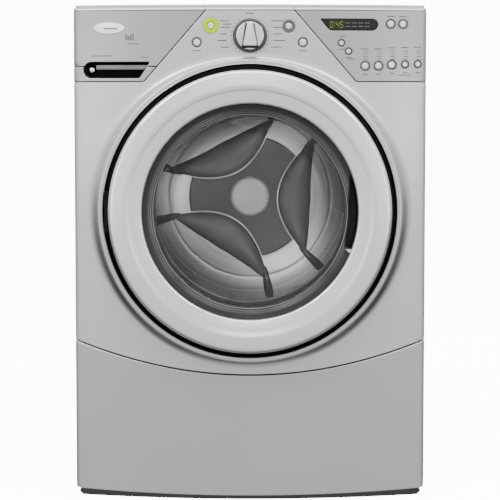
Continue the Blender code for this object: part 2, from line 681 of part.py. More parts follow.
def build_suspension():
    """Two springs hang the tub from the cabinet, and two dampers stand under it."""
    for side, word in ((-1, "left"), (1, "right")):
        spring(f"suspension_spring_{word}", side * 0.262, 0.035, 0.7518, 0.9265)
        centre = (side * 0.215, 0.035)
        tube = [(0.0, 0.0218), (0.0140, 0.0218), (0.0140, 0.2300), (0.0058, 0.2300),
                (0.0058, 0.1000), (0.0, 0.1000)]
        piece(f"damper_tube_{word}", lathe(tube, "Z", centre, ROUND_SMALL), "dark_plastic")
        bar = [(0.0, 0.1500), (0.0050, 0.1500), (0.0050, 0.3200), (0.0100, 0.3240),
               (0.0100, 0.3297), (0.0, 0.3297)]
        piece(f"damper_rod_{word}", lathe(bar, "Z", centre, ROUND_SMALL), "stainless",
              (*centre, 0.0))


def spring(name, x, y, low, high):
    """A close wire coil on an upright axis."""
    turns, per_turn, wire, coil = 6, 8, 0.0020, 0.0120
    bm = bmesh.new()
    sides = 4
    rows = []
    rise = high - low - 2.0 * wire
    for i in range(turns * per_turn + 1):
        turn = 2.0 * math.pi * i / per_turn
        height = low + wire + rise * i / (turns * per_turn)
        centre = Vector((x + coil * math.cos(turn), y + coil * math.sin(turn), height))
        out = Vector((math.cos(turn), math.sin(turn), 0.0))
        row = []
        for k in range(sides):
            a = 2.0 * math.pi * k / sides
            spoke = math.cos(a) * out + math.sin(a) * Vector((0.0, 0.0, 1.0))
            row.append(bm.verts.new(centre + wire * spoke))
        rows.append(row)
    for near, far in zip(rows, rows[1:]):
        for k in range(sides):
            nxt = (k + 1) % sides
            bm.faces.new((near[k], near[nxt], far[nxt], far[k]))
    bm.faces.new(rows[0])
    bm.faces.new(rows[-1])
    bmesh.ops.recalc_face_normals(bm, faces=bm.faces[:])
    piece(name, bm, "stainless", (x, y, high))


MOTOR_Z = 0.170
DRUM_PULLEY_R = 0.140
MOTOR_PULLEY_R = 0.0125


def build_motor():
    centre = (0.0, MOTOR_Z)
    outline = [(0.0, 0.080), (0.040, 0.080), (0.060, 0.095), (0.060, 0.255), (0.045, 0.270),
               (0.0, 0.270)]
    motor = piece("motor_body", lathe(outline, "Y", centre, 32), "motor_steel")
    reach = 0.2906
    lugs = []
    for y in (0.110, 0.215):
        places = [0.035 - 0.070 * i / 6.0 for i in range(7)]
        arc = [(x, DOOR_Z - math.sqrt(reach ** 2 - x ** 2)) for x in places]
        lugs.append(prism([(-0.035, MOTOR_Z), (0.035, MOTOR_Z)] + arc, "Y", y, y + 0.018))
    fuse(motor, together(*lugs))
    cut(motor, rod(0.0064, 0.240, 0.290, centre=centre, steps=ROUND_BUTTON))
    rotor = [(0.0, 0.245), (0.0060, 0.245), (0.0060, 0.292), (0.0150, 0.292), (0.0150, 0.2935),
             (MOTOR_PULLEY_R, 0.2935), (MOTOR_PULLEY_R, 0.3065), (0.0150, 0.3065),
             (0.0150, 0.308), (0.0, 0.308)]
    piece("motor_pulley", lathe(rotor, "Y", centre, ROUND_SMALL), "cast_alloy",
          (0.0, 0.300, MOTOR_Z))


def build_belt():
    """Flat ribbed belt in the plane of the two pulleys."""
    thick, gap = 0.0028, CLEAR
    outer = belt_loop(DRUM_PULLEY_R + gap + thick, MOTOR_PULLEY_R + gap + thick)
    inner = belt_loop(DRUM_PULLEY_R + gap, MOTOR_PULLEY_R + gap)
    bm = bmesh.new()
    rings = []
    for loop in (outer, inner):
        for y in (0.2945, 0.3055):
            rings.append([bm.verts.new((x, y, z)) for x, z in loop])
    outer_near, outer_far, inner_near, inner_far = rings
    count = len(outer)
    for i in range(count):
        j = (i + 1) % count
        bm.faces.new((outer_near[i], outer_near[j], outer_far[j], outer_far[i]))
        bm.faces.new((inner_near[i], inner_far[i], inner_far[j], inner_near[j]))
        bm.faces.new((outer_near[i], inner_near[i], inner_near[j], outer_near[j]))
        bm.faces.new((outer_far[i], outer_far[j], inner_far[j], inner_far[i]))
    bmesh.ops.recalc_face_normals(bm, faces=bm.faces[:])
    piece("drive_belt", bm, "rubber")


def belt_loop(big, small):
    """Outline of a belt round the drum pulley above and the motor pulley below."""
    span = DOOR_Z - MOTOR_Z
    tilt = math.asin((big - small) / span)
    upper = [-tilt + (math.pi + 2.0 * tilt) * i / 36.0 for i in range(37)]
    lower = [math.pi + tilt + (math.pi - 2.0 * tilt) * i / 10.0 for i in range(11)]
    loop = [(big * math.cos(a), DOOR_Z + big * math.sin(a)) for a in upper]
    return loop + [(small * math.cos(a), MOTOR_Z + small * math.sin(a)) for a in lower]


# ---------------------------------------------------------------- drum group
LEAF_ANGLES = (-2.0, 118.0, 238.0)


def build_drum():
    """Perforated drum: rolled lip at the mouth, leaf-shaped pressings and a hub on the back."""
    outline = [(0.0, 0.2055), (0.2540, 0.2055), (0.2595, 0.2000), (0.2595, -0.1890),
               (0.2440, -0.2025), (0.1900, -0.2025), (0.1900, -0.2055), (0.2450, -0.2055),
               (0.2610, -0.1915), (0.2610, 0.2020), (0.2550, 0.2080), (0.0, 0.2080)]
    drum = piece("drum_shell", lathe(outline, steps=ROUND_TUB), "stainless",
                 (0.0, 0.0, DOOR_Z))
    leaves = [prism(leaf_outline(angle), "Y", 0.1850, 0.2065) for angle in LEAF_ANGLES]
    fuse(drum, together(*leaves))
    fuse(drum, lathe([(0.0, 0.1930), (0.0380, 0.1930), (0.0450, 0.2000), (0.0450, 0.2065),
                      (0.0, 0.2065)], steps=ROUND_SMALL))


def leaf_outline(angle):
    """A leaf between a chord and an arc that bows toward the hub, turned to its angle."""
    chord, bow, half_length, count = 0.131, 0.069, 0.127, 10
    turn = Matrix.Rotation(math.radians(angle), 2)
    tips = [half_length * (1.0 - 2.0 * i / count) for i in range(count + 1)]
    inner = [(chord - bow * math.cos(0.5 * math.pi * t / half_length), t) for t in tips]
    outer = [(chord + 0.004, -half_length), (chord + 0.004, half_length)]
    points = [turn @ Vector(spot) for spot in inner[1:-1] + outer]
    return [(point.x, DOOR_Z + point.y) for point in points]


def build_baffles():
    """Three hollow-looking lifters along the drum wall, between the leaves."""
    for number, angle in enumerate(LEAF_ANGLES, 1):
        mid = math.radians(angle + 60.0)
        turn = Matrix.Rotation(mid, 2)
        foot, crest = 0.2585, 0.2180
        profile = [(foot * math.cos(0.13), foot * math.sin(0.13)), (crest + 0.008, 0.014),
                   (crest, 0.008), (crest, -0.008), (crest + 0.008, -0.014),
                   (foot * math.cos(0.13), -foot * math.sin(0.13)), (foot - 0.0004, 0.0)]
        points = [turn @ Vector(spot) for spot in profile]
        outline = [(point.x, DOOR_Z + point.y) for point in points]
        piece(f"baffle_{number}", prism(outline, "Y", -0.165, 0.175), "grey_plastic",
              (0.0, 0.0, DOOR_Z))


def build_spider():
    """Three-armed casting behind the drum, with the shaft that runs through the bearing."""
    points = []
    for k in range(3):
        angle = math.radians(LEAF_ANGLES[0] + 120.0 * k)
        turn = Matrix.Rotation(angle, 2)
        for spot in ((0.062, -0.030), (0.240, -0.016), (0.240, 0.016), (0.062, 0.030)):
            point = turn @ Vector(spot)
            points.append((point.x, DOOR_Z + point.y))
    spider = piece("drum_spider", prism(points, "Y", 0.2084, 0.2360), "cast_alloy",
                   (0.0, 0.0, DOOR_Z))
    fuse(spider, rod(0.0125, 0.2200, 0.3200, steps=32))
    piece("drum_bearing", pipe(0.0129, 0.0296, 0.2465, 0.2690, steps=32), "stainless")


def build_drum_pulley():
    """Spoked pulley fixed to the rear end of the drum shaft."""
    outline = [(0.0129, 0.2850), (0.0320, 0.2850), (0.0320, 0.2965), (0.1330, 0.2965),
               (0.1330, 0.2920), (DRUM_PULLEY_R, 0.2920), (DRUM_PULLEY_R, 0.3080),
               (0.1330, 0.3080), (0.1330, 0.3035), (0.0320, 0.3035), (0.0320, 0.3150),
               (0.0129, 0.3150)]
    pulley = piece("drum_pulley", lathe(outline, steps=ROUND_MID), "cast_alloy",
                   (0.0, 0.300, DOOR_Z))
    gaps = [sector(0.048, 0.122, 22.0, 0.280, 0.320, 60.0 * k, 4) for k in range(6)]
    cut(pulley, together(*gaps))


# ---------------------------------------------------------------- inner units
def build_dispenser():
    housing = piece("dispenser_housing", block((-0.3150, -0.1800), (-0.2970, -0.0200),
                                               (0.8550, 0.9400)), "pale_plastic")
    cut(housing, block((-0.3120, -0.1830), (-0.3100, -0.0230), (0.8580, 0.9370)))
    tray = piece("drawer_tray", block((-0.3080, -0.1870), (-0.2930, -0.0450),
                                      (0.8590, 0.9250)), "pale_plastic")
    walls = ((-0.3055, -0.2720), (-0.2695, -0.2270), (-0.2245, -0.1895))
    cells = [block(pair, (-0.2905, -0.0475), (0.8615, 0.9400)) for pair in walls]
    cut(tray, together(*cells))


def build_control_board():
    board = piece("control_board", block((-0.1000, 0.3200), (-0.2880, -0.2700),
                                         (0.8750, 0.9420)), "circuit_green")
    edge = board.modifiers.new("Bevel", "BEVEL")
    edge.width = 0.002
    edge.segments = 1


def build_drain_pump():
    centre = (0.205, 0.080)
    outline = [(0.0, -0.2450), (0.0240, -0.2450), (0.0240, -0.2250), (0.0400, -0.2250),
               (0.0400, -0.1850), (0.0280, -0.1800), (0.0280, -0.1150), (0.0, -0.1150)]
    pump = piece("drain_pump", lathe(outline, "Y", centre, ROUND_SMALL), "dark_plastic")
    fuse(pump, block((0.175, 0.235), (-0.2200, -0.1300), (0.0218, 0.0650)))
    fuse(pump, rod(0.0140, 0.0900, 0.1500, "Z", (0.205, -0.205)))


def build_inlet_valve():
    """Twin water valve inside the rear wall, its two hose threads standing out of it."""
    valve = piece("water_inlet_valve", block((-0.280, -0.180), (0.3350, 0.3796),
                                             (0.888, 0.932)), "brass")
    stubs = [pipe(0.0095, 0.0133, 0.3700, REAR_Y, centre=(x, 0.910)) for x in (-0.255, -0.205)]
    for stub in stubs:
        fuse(valve, stub)


def build_all():
    clear_scene()
    build_cabinet()
    build_rear_access_panel()
    build_top_panel()
    build_base_frame()
    build_feet()
    build_front_panel()
    build_toe_panel()
    build_drawer_surround()
    build_drawer_front()
    build_control_panel()
    build_display_window()
    build_buttons()
    build_knob()
    build_door_ring()
    build_door_inner_frame()
    build_door_glass()
    build_door_handle()
    build_hinge()
    build_door_lock()
    build_bellows()
    build_tub()
    build_counterweight()
    build_suspension()
    build_motor()
    build_belt()
    build_drum()
    build_baffles()
    build_spider()
    build_drum_pulley()
    build_dispenser()
    build_control_board()
    build_drain_pump()
    build_inlet_valve()


build_all()
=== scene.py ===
"""Looks of the front load washing machine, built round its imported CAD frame."""
import math

import bmesh
import bpy
import numpy as np
from mathutils import Matrix, Vector
from mathutils.geometry import delaunay_2d_cdt


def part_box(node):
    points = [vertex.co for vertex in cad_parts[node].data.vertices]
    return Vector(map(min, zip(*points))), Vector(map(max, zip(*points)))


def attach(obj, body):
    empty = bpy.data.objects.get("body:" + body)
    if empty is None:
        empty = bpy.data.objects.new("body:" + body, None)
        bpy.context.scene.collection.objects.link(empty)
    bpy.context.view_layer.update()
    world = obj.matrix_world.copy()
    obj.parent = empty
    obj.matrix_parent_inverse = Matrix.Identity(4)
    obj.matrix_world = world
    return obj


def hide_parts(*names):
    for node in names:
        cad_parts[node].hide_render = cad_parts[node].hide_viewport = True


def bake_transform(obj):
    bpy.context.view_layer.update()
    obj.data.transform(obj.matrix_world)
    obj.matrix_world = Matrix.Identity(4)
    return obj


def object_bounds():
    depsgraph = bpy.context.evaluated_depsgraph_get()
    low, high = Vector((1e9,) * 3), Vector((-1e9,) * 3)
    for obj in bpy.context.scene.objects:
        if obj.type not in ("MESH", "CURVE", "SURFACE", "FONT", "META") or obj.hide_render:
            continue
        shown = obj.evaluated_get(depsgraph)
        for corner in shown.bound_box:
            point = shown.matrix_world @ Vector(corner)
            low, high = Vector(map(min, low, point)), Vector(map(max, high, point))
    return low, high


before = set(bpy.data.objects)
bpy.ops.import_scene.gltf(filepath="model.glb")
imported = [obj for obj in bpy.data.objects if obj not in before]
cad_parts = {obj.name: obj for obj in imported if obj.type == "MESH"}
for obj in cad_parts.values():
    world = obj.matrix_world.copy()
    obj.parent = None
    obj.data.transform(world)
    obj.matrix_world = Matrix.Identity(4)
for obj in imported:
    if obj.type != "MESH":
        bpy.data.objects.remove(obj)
CAD_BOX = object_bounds()

# ---------------------------------------------------------------- sizes shared with the CAD
HALF_W = float(CAD_BOX[1][0])
EDGE_Y = -0.310
BULGE = 0.045
CORNER = 0.008
RETURN_Y = -0.2985
SKIN = 0.003
SEAM = 0.0009
TOE_LEAN = 0.045
SEAM_SIDE_Z = 0.313
SEAM_MID_Z = 0.2485
CONSOLE_Z = 0.8165
DRAWER_Z = 0.846
SLANT_TOP = (0.0854, 0.9535)
SLANT = 0.875
PANEL_TOP_Z = 0.9535
TOE_SIDE_Z = 0.0175
TOE_MID_Z = 0.0075
TOE_SEAM = 0.0012


def middle(node):
    low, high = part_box(node)
    return [0.5 * (low[i] + high[i]) for i in range(3)]


DOOR_Z = middle("door_ring")[2]
KNOB_Z = middle("cycle_knob")[2]


def front_y(x):
    y = EDGE_Y - BULGE * (1.0 - (x / HALF_W) ** 2)
    past = (abs(x) - (HALF_W - CORNER)) / CORNER
    if past > 0.0:
        y += CORNER * (1.0 - math.sqrt(max(0.0, 1.0 - min(past, 1.0) ** 2)))
    return y


# The front skin unrolled: s is the way along its plan curve, from the middle to a side return.
_turn = [math.sin(0.5 * math.pi * i / 24) for i in range(25)]
_half = [(HALF_W - CORNER) * i / 400 for i in range(400)]
_half += [HALF_W - CORNER + CORNER * t for t in _turn]
_curve = [(x, front_y(x)) for x in _half] + [(HALF_W, RETURN_Y)]
_run = [0.0]
for _a, _b in zip(_curve, _curve[1:]):
    _run.append(_run[-1] + math.hypot(_b[0] - _a[0], _b[1] - _a[1]))
RUN = np.array(_run)
RUN_X = np.array([p[0] for p in _curve])
RUN_Y = np.array([p[1] for p in _curve])
S_MAX = float(RUN[-1])
BEND = [float(s) for s in RUN[400:425:3]]       # columns of places down each side corner
BEND_GAP = 0.004
BEND_STEP = 0.010
RIM_GAP = 0.0016

def s_of(x):
    return math.copysign(float(np.interp(abs(x), RUN_X[:-1], RUN[:-1])), x)


def on_front(s, z, depth=0.0):
    """A place on the front skin, or depth behind it."""
    side = math.copysign(1.0, s)
    run = min(abs(s), S_MAX)
    x = float(np.interp(run, RUN, RUN_X))
    y = float(np.interp(run, RUN, RUN_Y))
    step = 0.0012
    lo, hi = max(0.0, run - step), min(S_MAX, run + step)
    dx = float(np.interp(hi, RUN, RUN_X) - np.interp(lo, RUN, RUN_X))
    dy = float(np.interp(hi, RUN, RUN_Y) - np.interp(lo, RUN, RUN_Y))
    if lo == 0.0:
        dx, dy = 1.0, 0.0
    length = math.hypot(dx, dy)
    nx, ny = -dy / length, dx / length
    return Vector((side * (x + nx * depth), y + ny * depth, z))


def on_toe(s, z, depth=0.0):
    """The same on the toe panel, whose bow flattens toward the floor."""
    spot = on_front(s, z, depth)
    share = max(0.0, 1.0 - (spot.x / HALF_W) ** 2)
    spot.y += TOE_LEAN * (SEAM_SIDE_Z - z) * share
    return spot


# ---------------------------------------------------------------- outline tools
def rounded(points, radius, count=5, closed=True):
    """Round the corners of an outline. radius is one number or one for each corner."""
    total = len(points)
    radii = [radius] * total if isinstance(radius, (int, float)) else list(radius)
    out = []
    for i, point in enumerate(points):
        p = Vector(point)
        if not closed and i in (0, total - 1) or radii[i] <= 0.0:
            out.append(tuple(p))
            continue
        before, after = Vector(points[i - 1]) - p, Vector(points[(i + 1) % total]) - p
        cut = min(radii[i], 0.48 * before.length, 0.48 * after.length)
        a, b = p + before.normalized() * cut, p + after.normalized() * cut
        for k in range(count + 1):
            t = k / count
            out.append(tuple(a * (1 - t) ** 2 + p * 2 * t * (1 - t) + b * t * t))
    return out


def densify(loop, step):
    """Break the long edges of a closed outline."""
    out = []
    for a, b in zip(loop, loop[1:] + loop[:1]):
        n = max(1, int(math.ceil(math.dist(a, b) / step)))
        out += [(a[0] + (b[0] - a[0]) * k / n, a[1] + (b[1] - a[1]) * k / n) for k in range(n)]
    return out


def area(loop):
    return 0.5 * sum(a[0] * b[1] - b[0] * a[1] for a, b in zip(loop, loop[1:] + loop[:1]))


def turned(loop, positive=True):
    return loop if (area(loop) > 0) == positive else loop[::-1]


def circle(x, z, radius, count):
    return [(x + radius * math.cos(2 * math.pi * i / count),
             z + radius * math.sin(2 * math.pi * i / count)) for i in range(count)]


def polar(radius, angle):
    """A place round the door's axis."""
    return radius * math.cos(angle), DOOR_Z + radius * math.sin(angle)


def inset(loop, distance):
    """Move an outline toward its left-hand side."""
    out = []
    for i, point in enumerate(loop):
        p = Vector(point)
        e1 = (p - Vector(loop[i - 1])).normalized()
        e2 = (Vector(loop[(i + 1) % len(loop)]) - p).normalized()
        n1, n2 = Vector((-e1.y, e1.x)), Vector((-e2.y, e2.x))
        out.append(tuple(p + (n1 + n2) * (distance / max(0.35, 1.0 + n1.dot(n2)))))
    return out


def holds(loop, x, z):
    odd = False
    for (ax, az), (bx, bz) in zip(loop, loop[1:] + loop[:1]):
        if (az > z) != (bz > z) and x < (bx - ax) * (z - az) / (bz - az) + ax:
            odd = not odd
    return odd


def to_s(loop):
    """An outline given in x and z, in the unrolled skin's own numbers."""
    return [(math.copysign(S_MAX, x) if abs(x) > HALF_W - 0.001 else s_of(x), z)
            for x, z in loop]


# ---------------------------------------------------------------- mesh tools
def fill(bm, loops, place, depth, spacing):
    """Fill the area between outlines with triangles laid on a curved surface."""
    low, high = [[end(p[i] for p in loops[0]) for i in (0, 1)] for end in (min, max)]
    rim = np.array([p for loop in loops for p in loop])
    coords = [Vector(p) for p in rim]

    def inside(u, v):
        return holds(loops[0], u, v) and not any(holds(hole, u, v) for hole in loops[1:])

    def add(u, v, gap):
        near = np.min((rim[:, 0] - u) ** 2 + (rim[:, 1] - v) ** 2)
        if near >= gap ** 2 and inside(u, v):
            coords.append(Vector((u, v)))

    edges, start = [], 0
    for loop in loops:
        n = len(loop)
        edges += [(start + i, start + (i + 1) % n) for i in range(n)]
        start += n
    nx, nz = [int((high[i] - low[i]) / spacing) + 1 for i in (0, 1)]
    for i in range(nx):
        for j in range(nz):
            u = low[0] + (i + 0.5) * spacing + (0.25 if j % 2 else -0.25) * spacing
            if abs(u) <= BEND[0] - BEND_GAP:
                add(u, low[1] + (j + 0.5) * spacing, 0.6 * spacing)
    for s in BEND:
        for v in np.arange(low[1], high[1], BEND_STEP):
            add(-s, v, RIM_GAP)
            add(s, v, RIM_GAP)
    verts, _, faces, *_ = delaunay_2d_cdt(coords, edges, [], 0, 1e-9)
    made = {}
    for face in faces:
        if not inside(*[sum(verts[i][k] for i in face) / len(face) for k in (0, 1)]):
            continue
        for i in face:
            if i not in made:
                made[i] = bm.verts.new(place(verts[i].x, verts[i].y, depth))
        try:
            bm.faces.new([made[i] for i in face])
        except ValueError:
            pass


def bridge(bm, rows, closed=True):
    """Join rows of places with quads. Each row is a closed ring unless closed is False."""
    made = [[bm.verts.new(p) for p in row] for row in rows]
    n = len(made[0])
    for near, far in zip(made, made[1:]):
        for i in range(n if closed else n - 1):
            j = (i + 1) % n
            bm.faces.new((near[i], near[j], far[j], far[i]))
    return made


def solid(rings):
    """A closed tube of rings with its two ends filled."""
    bm = bmesh.new()
    made = bridge(bm, rings)
    for ring in (made[0], made[-1]):
        bm.faces.new(ring)
    return bm


def panel(loops, place, thick=SKIN, edge=0.0012, spacing=0.016, joins=()):
    """A skin with rounded edges. joins are holes whose rim another surface carries on from."""
    bm = bmesh.new()
    rims = [turned(loops[0])] + [turned(hole, False) for hole in loops[1:]]
    joins = [turned(hole, False) for hole in joins]
    support = edge + 0.0012
    for rim in rims:
        rows = [[place(u, v, thick) for u, v in rim]]
        for turn in [0.5 * math.pi * k / 4 for k in range(5)]:
            ring = inset(rim, edge * (1 - math.cos(turn)))
            rows.append([place(u, v, edge * (1 - math.sin(turn))) for u, v in ring])
        rows.append([place(u, v, 0.0) for u, v in inset(rim, support)])
        bridge(bm, rows)
    fill(bm, [inset(rim, support) for rim in rims] + joins, place, 0.0, spacing)
    fill(bm, rims + joins, place, thick, spacing * 1.6)
    return bm


def slab(loop, place, front, back, edge=0.0006, spacing=0.02):
    """A solid between two depths, its front edge rounded."""
    return panel([loop], lambda u, v, d: place(u, v, front + d), back - front, edge, spacing)


def cup(loop, place, wall, front, back):
    """An open tray: an outline with walls and a floor, its mouth at the front."""
    bm = bmesh.new()
    outer = turned(loop)
    lip, foot = 0.35 * wall, 0.002
    bridge(bm, [[place(u, v, depth) for u, v in (inset(outer, gap) if gap else outer)]
                for gap, depth in ((0.0, back), (0.0, front + lip), (lip, front),
                                   (wall - lip, front), (wall, front + lip),
                                   (wall, back - wall - foot), (wall + foot, back - wall))])
    fill(bm, [inset(outer, wall + foot)], place, back - wall, 0.012)
    fill(bm, [outer], place, back, 0.016)
    return bm


def lathe(profile, steps=128, centre=None, axis="Y", closed=False, indices=None):
    """Turn (radius, position) pairs about an axis into a smooth surface."""
    bm = bmesh.new()
    made = []
    for r, t in profile:
        ring = circle(*(centre or (0.0, DOOR_Z)), r, steps)
        made.append([bm.verts.new((u, t, v) if axis == "Y" else (u, v, t)) for u, v in ring])
    for number, (near, far) in enumerate(zip(made, made[1:] + (made[:1] if closed else []))):
        for k in range(steps):
            m = (k + 1) % steps
            face = bm.faces.new((near[k], near[m], far[m], far[k]))
            face.material_index = indices[number] if indices else 0
    bmesh.ops.remove_doubles(bm, verts=bm.verts[:], dist=1e-6)
    return bm


def spline(points, count=6):
    """A smooth curve through points."""
    pts = [Vector(p) for p in points]
    out = []
    for i in range(len(pts) - 1):
        a, b = pts[i], pts[i + 1]
        before = pts[i - 1] if i else a - (b - a)
        after = pts[i + 2] if i + 2 < len(pts) else b + (b - a)
        for k in range(count):
            t = k / count
            out.append(tuple(0.5 * ((2 * a) + (b - before) * t
                                    + (2 * before - 5 * a + 4 * b - after) * t * t
                                    + (3 * a - before - 3 * b + after) * t ** 3)))
    out.append(tuple(pts[-1]))
    return out


def joined(*parts):
    bm = bmesh.new()
    for part in parts:
        mesh = bpy.data.meshes.new("part")
        part.to_mesh(mesh)
        part.free()
        bm.from_mesh(mesh)
        bpy.data.meshes.remove(mesh)
    return bm


def box_bm(x, y, z, bevel=0.0):
    """A box with softened edges, from three (low, high) pairs."""
    bm = bmesh.new()
    bmesh.ops.create_cube(bm, size=1.0)
    for vert in bm.verts:
        vert.co = Vector([pair[0] + (c + 0.5) * (pair[1] - pair[0])
                          for pair, c in zip((x, y, z), vert.co)])
    if bevel:
        bmesh.ops.bevel(bm, geom=bm.edges[:], offset=bevel, segments=3, profile=0.5,
                        affect="EDGES")
    return bm


def linked(name, bm):
    """Put a bmesh in the scene as an object."""
    bmesh.ops.recalc_face_normals(bm, faces=bm.faces[:])
    mesh = bpy.data.meshes.new(name)
    bm.to_mesh(mesh)
    bm.free()
    obj = bpy.data.objects.new(name, mesh)
    bpy.context.scene.collection.objects.link(obj)
    return obj


def make(name, bm, mats, body, stands_for=(), sharp=38.0, weld=2e-6):
    """Turn a bmesh into a named piece that rides on a body."""
    bmesh.ops.remove_doubles(bm, verts=bm.verts[:], dist=weld)
    obj = linked(name, bm)
    obj.data.shade_smooth()
    obj.data.set_sharp_from_angle(angle=math.radians(sharp))
    for mat in mats if isinstance(mats, (list, tuple)) else [mats]:
        obj.data.materials.append(mat)
    if body:
        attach(obj, body)
    if stands_for:
        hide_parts(*([stands_for] if isinstance(stands_for, str) else stands_for))
    return obj


def cut(obj, bm):
    """Cut a helper solid out of a piece and keep the result as its mesh."""
    tool = linked("cutter", bm)
    step = obj.modifiers.new("cut", "BOOLEAN")
    step.operation = "DIFFERENCE"
    step.solver = "EXACT"
    step.object = tool
    bpy.context.view_layer.update()
    graph = bpy.context.evaluated_depsgraph_get()
    result = bpy.data.meshes.new_from_object(obj.evaluated_get(graph))
    obj.modifiers.clear()
    obj.data = result
    result.set_sharp_from_angle(angle=math.radians(38.0))
    bpy.data.objects.remove(tool, do_unlink=True)


# ---------------------------------------------------------------- materials
class Nodes:
    """Short names for building the node tree of a new material, or of a given world."""

    def __init__(self, name, world=None):
        self.mat = world or bpy.data.materials.new(name)
        self.mat.use_nodes = True
        self.tree = self.mat.node_tree
        self.shader = self.tree.nodes.get("Background" if world else "Principled BSDF")
        coords = self.tree.nodes.new("ShaderNodeTexCoord")
        self.place = coords.outputs["Generated" if world else "Object"]

    def set(self, **values):
        for key, value in values.items():
            self.shader.inputs[key.replace("_", " ")].default_value = value

    def plug(self, value, socket):
        if isinstance(value, bpy.types.NodeSocket):
            self.tree.links.new(value, socket)
        else:
            socket.default_value = value

    def link(self, source, socket):
        self.tree.links.new(source, self.shader.inputs[socket])

    def node(self, kind, inputs=(), **settings):
        made = self.tree.nodes.new("ShaderNode" + kind)
        for key, value in settings.items():
            setattr(made, key, value)
        for key, value in dict(inputs).items():
            self.plug(value, made.inputs[key])
        return made

    def noise(self, scale, detail=3.0, rough=0.5, stretch=None):
        source = self.place
        if stretch:
            source = self.node("Mapping", {"Vector": source, "Scale": stretch}).outputs[0]
        return self.node("TexNoise", {"Vector": source, "Scale": scale, "Detail": detail,
                                      "Roughness": rough}).outputs["Fac"]

    def rings(self, value, detail=1.0):
        """Noise that varies along one value only, such as a distance from an axis."""
        return self.node("TexNoise", {"W": value, "Scale": 1.0, "Detail": detail},
                         noise_dimensions="1D").outputs["Fac"]

    def cells(self, scale):
        """One random number for each cell of a pattern of small cells."""
        cells = self.node("TexVoronoi", {"Vector": self.place, "Scale": scale})
        return self.node("SeparateColor", {"Color": cells.outputs["Color"]}).outputs[0]

    def math(self, operation, a, b=0.0, c=0.0):
        return self.node("Math", {0: a, 1: b, 2: c}, operation=operation).outputs[0]

    def times(self, a, b):
        return self.math("MULTIPLY", a, b)

    def spread(self, value, low, high, start=0.3, end=0.7):
        return self.node("MapRange", {"Value": value, "From Min": start, "From Max": end,
                                      "To Min": low, "To Max": high}).outputs[0]

    def mix(self, factor, a, b, blend="MIX"):
        return self.node("Mix", {0: factor, 6: a, 7: b}, data_type="RGBA",
                         blend_type=blend).outputs[2]

    def ramp(self, value, stops):
        """Grey levels at places from 0 to 1, eased from one to the next."""
        made = self.node("ValToRGB", {"Fac": value})
        made.color_ramp.interpolation = "EASE"
        marks_at = made.color_ramp.elements
        for place, level in stops:
            marks_at.new(max(0.001, min(0.999, place))).color = rgb(level)
        marks_at.remove(marks_at[0])
        marks_at.remove(marks_at[-1])
        return made.outputs[0]

    def bump(self, height, strength, distance=0.001, normal=None):
        inputs = {"Height": height, "Strength": strength, "Distance": distance}
        if normal:
            inputs["Normal"] = normal
        return self.node("Bump", inputs).outputs[0]

    def along(self):
        return self.node("SeparateXYZ", {"Vector": self.place}).outputs

    def radius(self):
        """Distance from the door's axis."""
        x, _, z = self.along()
        dz = self.math("SUBTRACT", z, DOOR_Z)
        return self.math("SQRT", self.math("ADD", self.times(x, x), self.times(dz, dz)))


def rgb(value, tint=(1.0, 1.0, 1.0)):
    return (value * tint[0], value * tint[1], value * tint[2], 1.0)


def paint(name, level, metallic, roughness, peel=0.02, shade=None):
    """Metallic paint: fine flakes, a slow drift of tone, and a trace of orange peel; a painted
    shade, when given, multiplies its colour.
    """
    n = Nodes(name)
    n.set(Metallic=metallic, Coat_Weight=0.35, Coat_Roughness=0.12)
    split = n.cells(2600.0)
    drift = n.spread(n.noise(2.2, 2.0), -0.5, 0.5)
    amount = n.math("ADD", n.times(split, 0.6), n.times(drift, 0.6))
    toned = n.mix(amount, rgb(level * 0.95, PAINT_TINT), rgb(level * 1.05, PAINT_TINT))
    n.link(n.mix(1.0, toned, shade(n), "MULTIPLY") if shade else toned, "Base Color")
    dust = n.noise(9.0, 5.0, 0.6)
    n.link(n.spread(dust, roughness - 0.03, roughness + 0.05), "Roughness")
    skin = n.bump(n.noise(420.0, 2.0), peel, 0.0004)
    n.link(n.bump(split, peel * 0.6, 0.0002, skin), "Normal")
    return n.mat


def painted_wall_shade(n):
    """Painted shade and light on the surround's wall by which way it looks: darkest on its lower
    sides, full tone on its upper part, running out on the skin outside it.
    """
    r = n.radius()
    height = n.math("SUBTRACT", n.along()[2], DOOR_Z)
    shade_tones = n.ramp(n.spread(n.math("DIVIDE", height, r), 0.0, 1.0, -1.0, 1.0), PAINTED_FLANK_SHADE)
    return n.mix(n.spread(r, 0.0, 1.0, *PAINTED_SHADE_FADE), shade_tones, rgb(1.0))


PAINT_TINT = (1.0, 1.0, 1.012)
RUBBER_TINT = (1.0, 1.0, 1.02)
HOLES_ROUND = 96.0
HOLE_PITCH = 0.017
HOLE_ROWS = 200.0       # added so that rows count up from below the drum's end
# painted shade of the surround's wall, as a share of its paint's tone, from its lowest point (0)
# round to its highest (1)
PAINTED_FLANK_SHADE = ((0.0, 0.80), (0.07, 0.50), (0.25, 0.10), (0.38, 0.12), (0.50, 0.34),
               (0.62, 0.85), (0.76, 1.0), (1.0, 1.0))
PAINTED_SHADE_FADE = (0.3010, 0.3090)


def around(colour, part):
    """A colour a little darker and a little lighter."""
    return [tuple(min(1.0, c * share) for c in colour) + (1.0,) for share in (1 - part, 1 + part)]


def plastic(name, colour, roughness=0.45, grain=900.0, depth=0.12, drift=0.12, **sockets):
    """Moulded plastic with a fine spark-eroded grain and faint handling marks."""
    n = Nodes(name)
    n.set(**sockets)
    tone = n.spread(n.noise(14.0, 4.0), 0.0, 1.0)
    n.link(n.mix(tone, *around(colour, drift)), "Base Color")
    n.link(n.spread(n.noise(60.0, 5.0), roughness - 0.06, roughness + 0.08), "Roughness")
    n.link(n.bump(n.noise(grain, 2.0), depth, 0.0003), "Normal")
    return n.mat


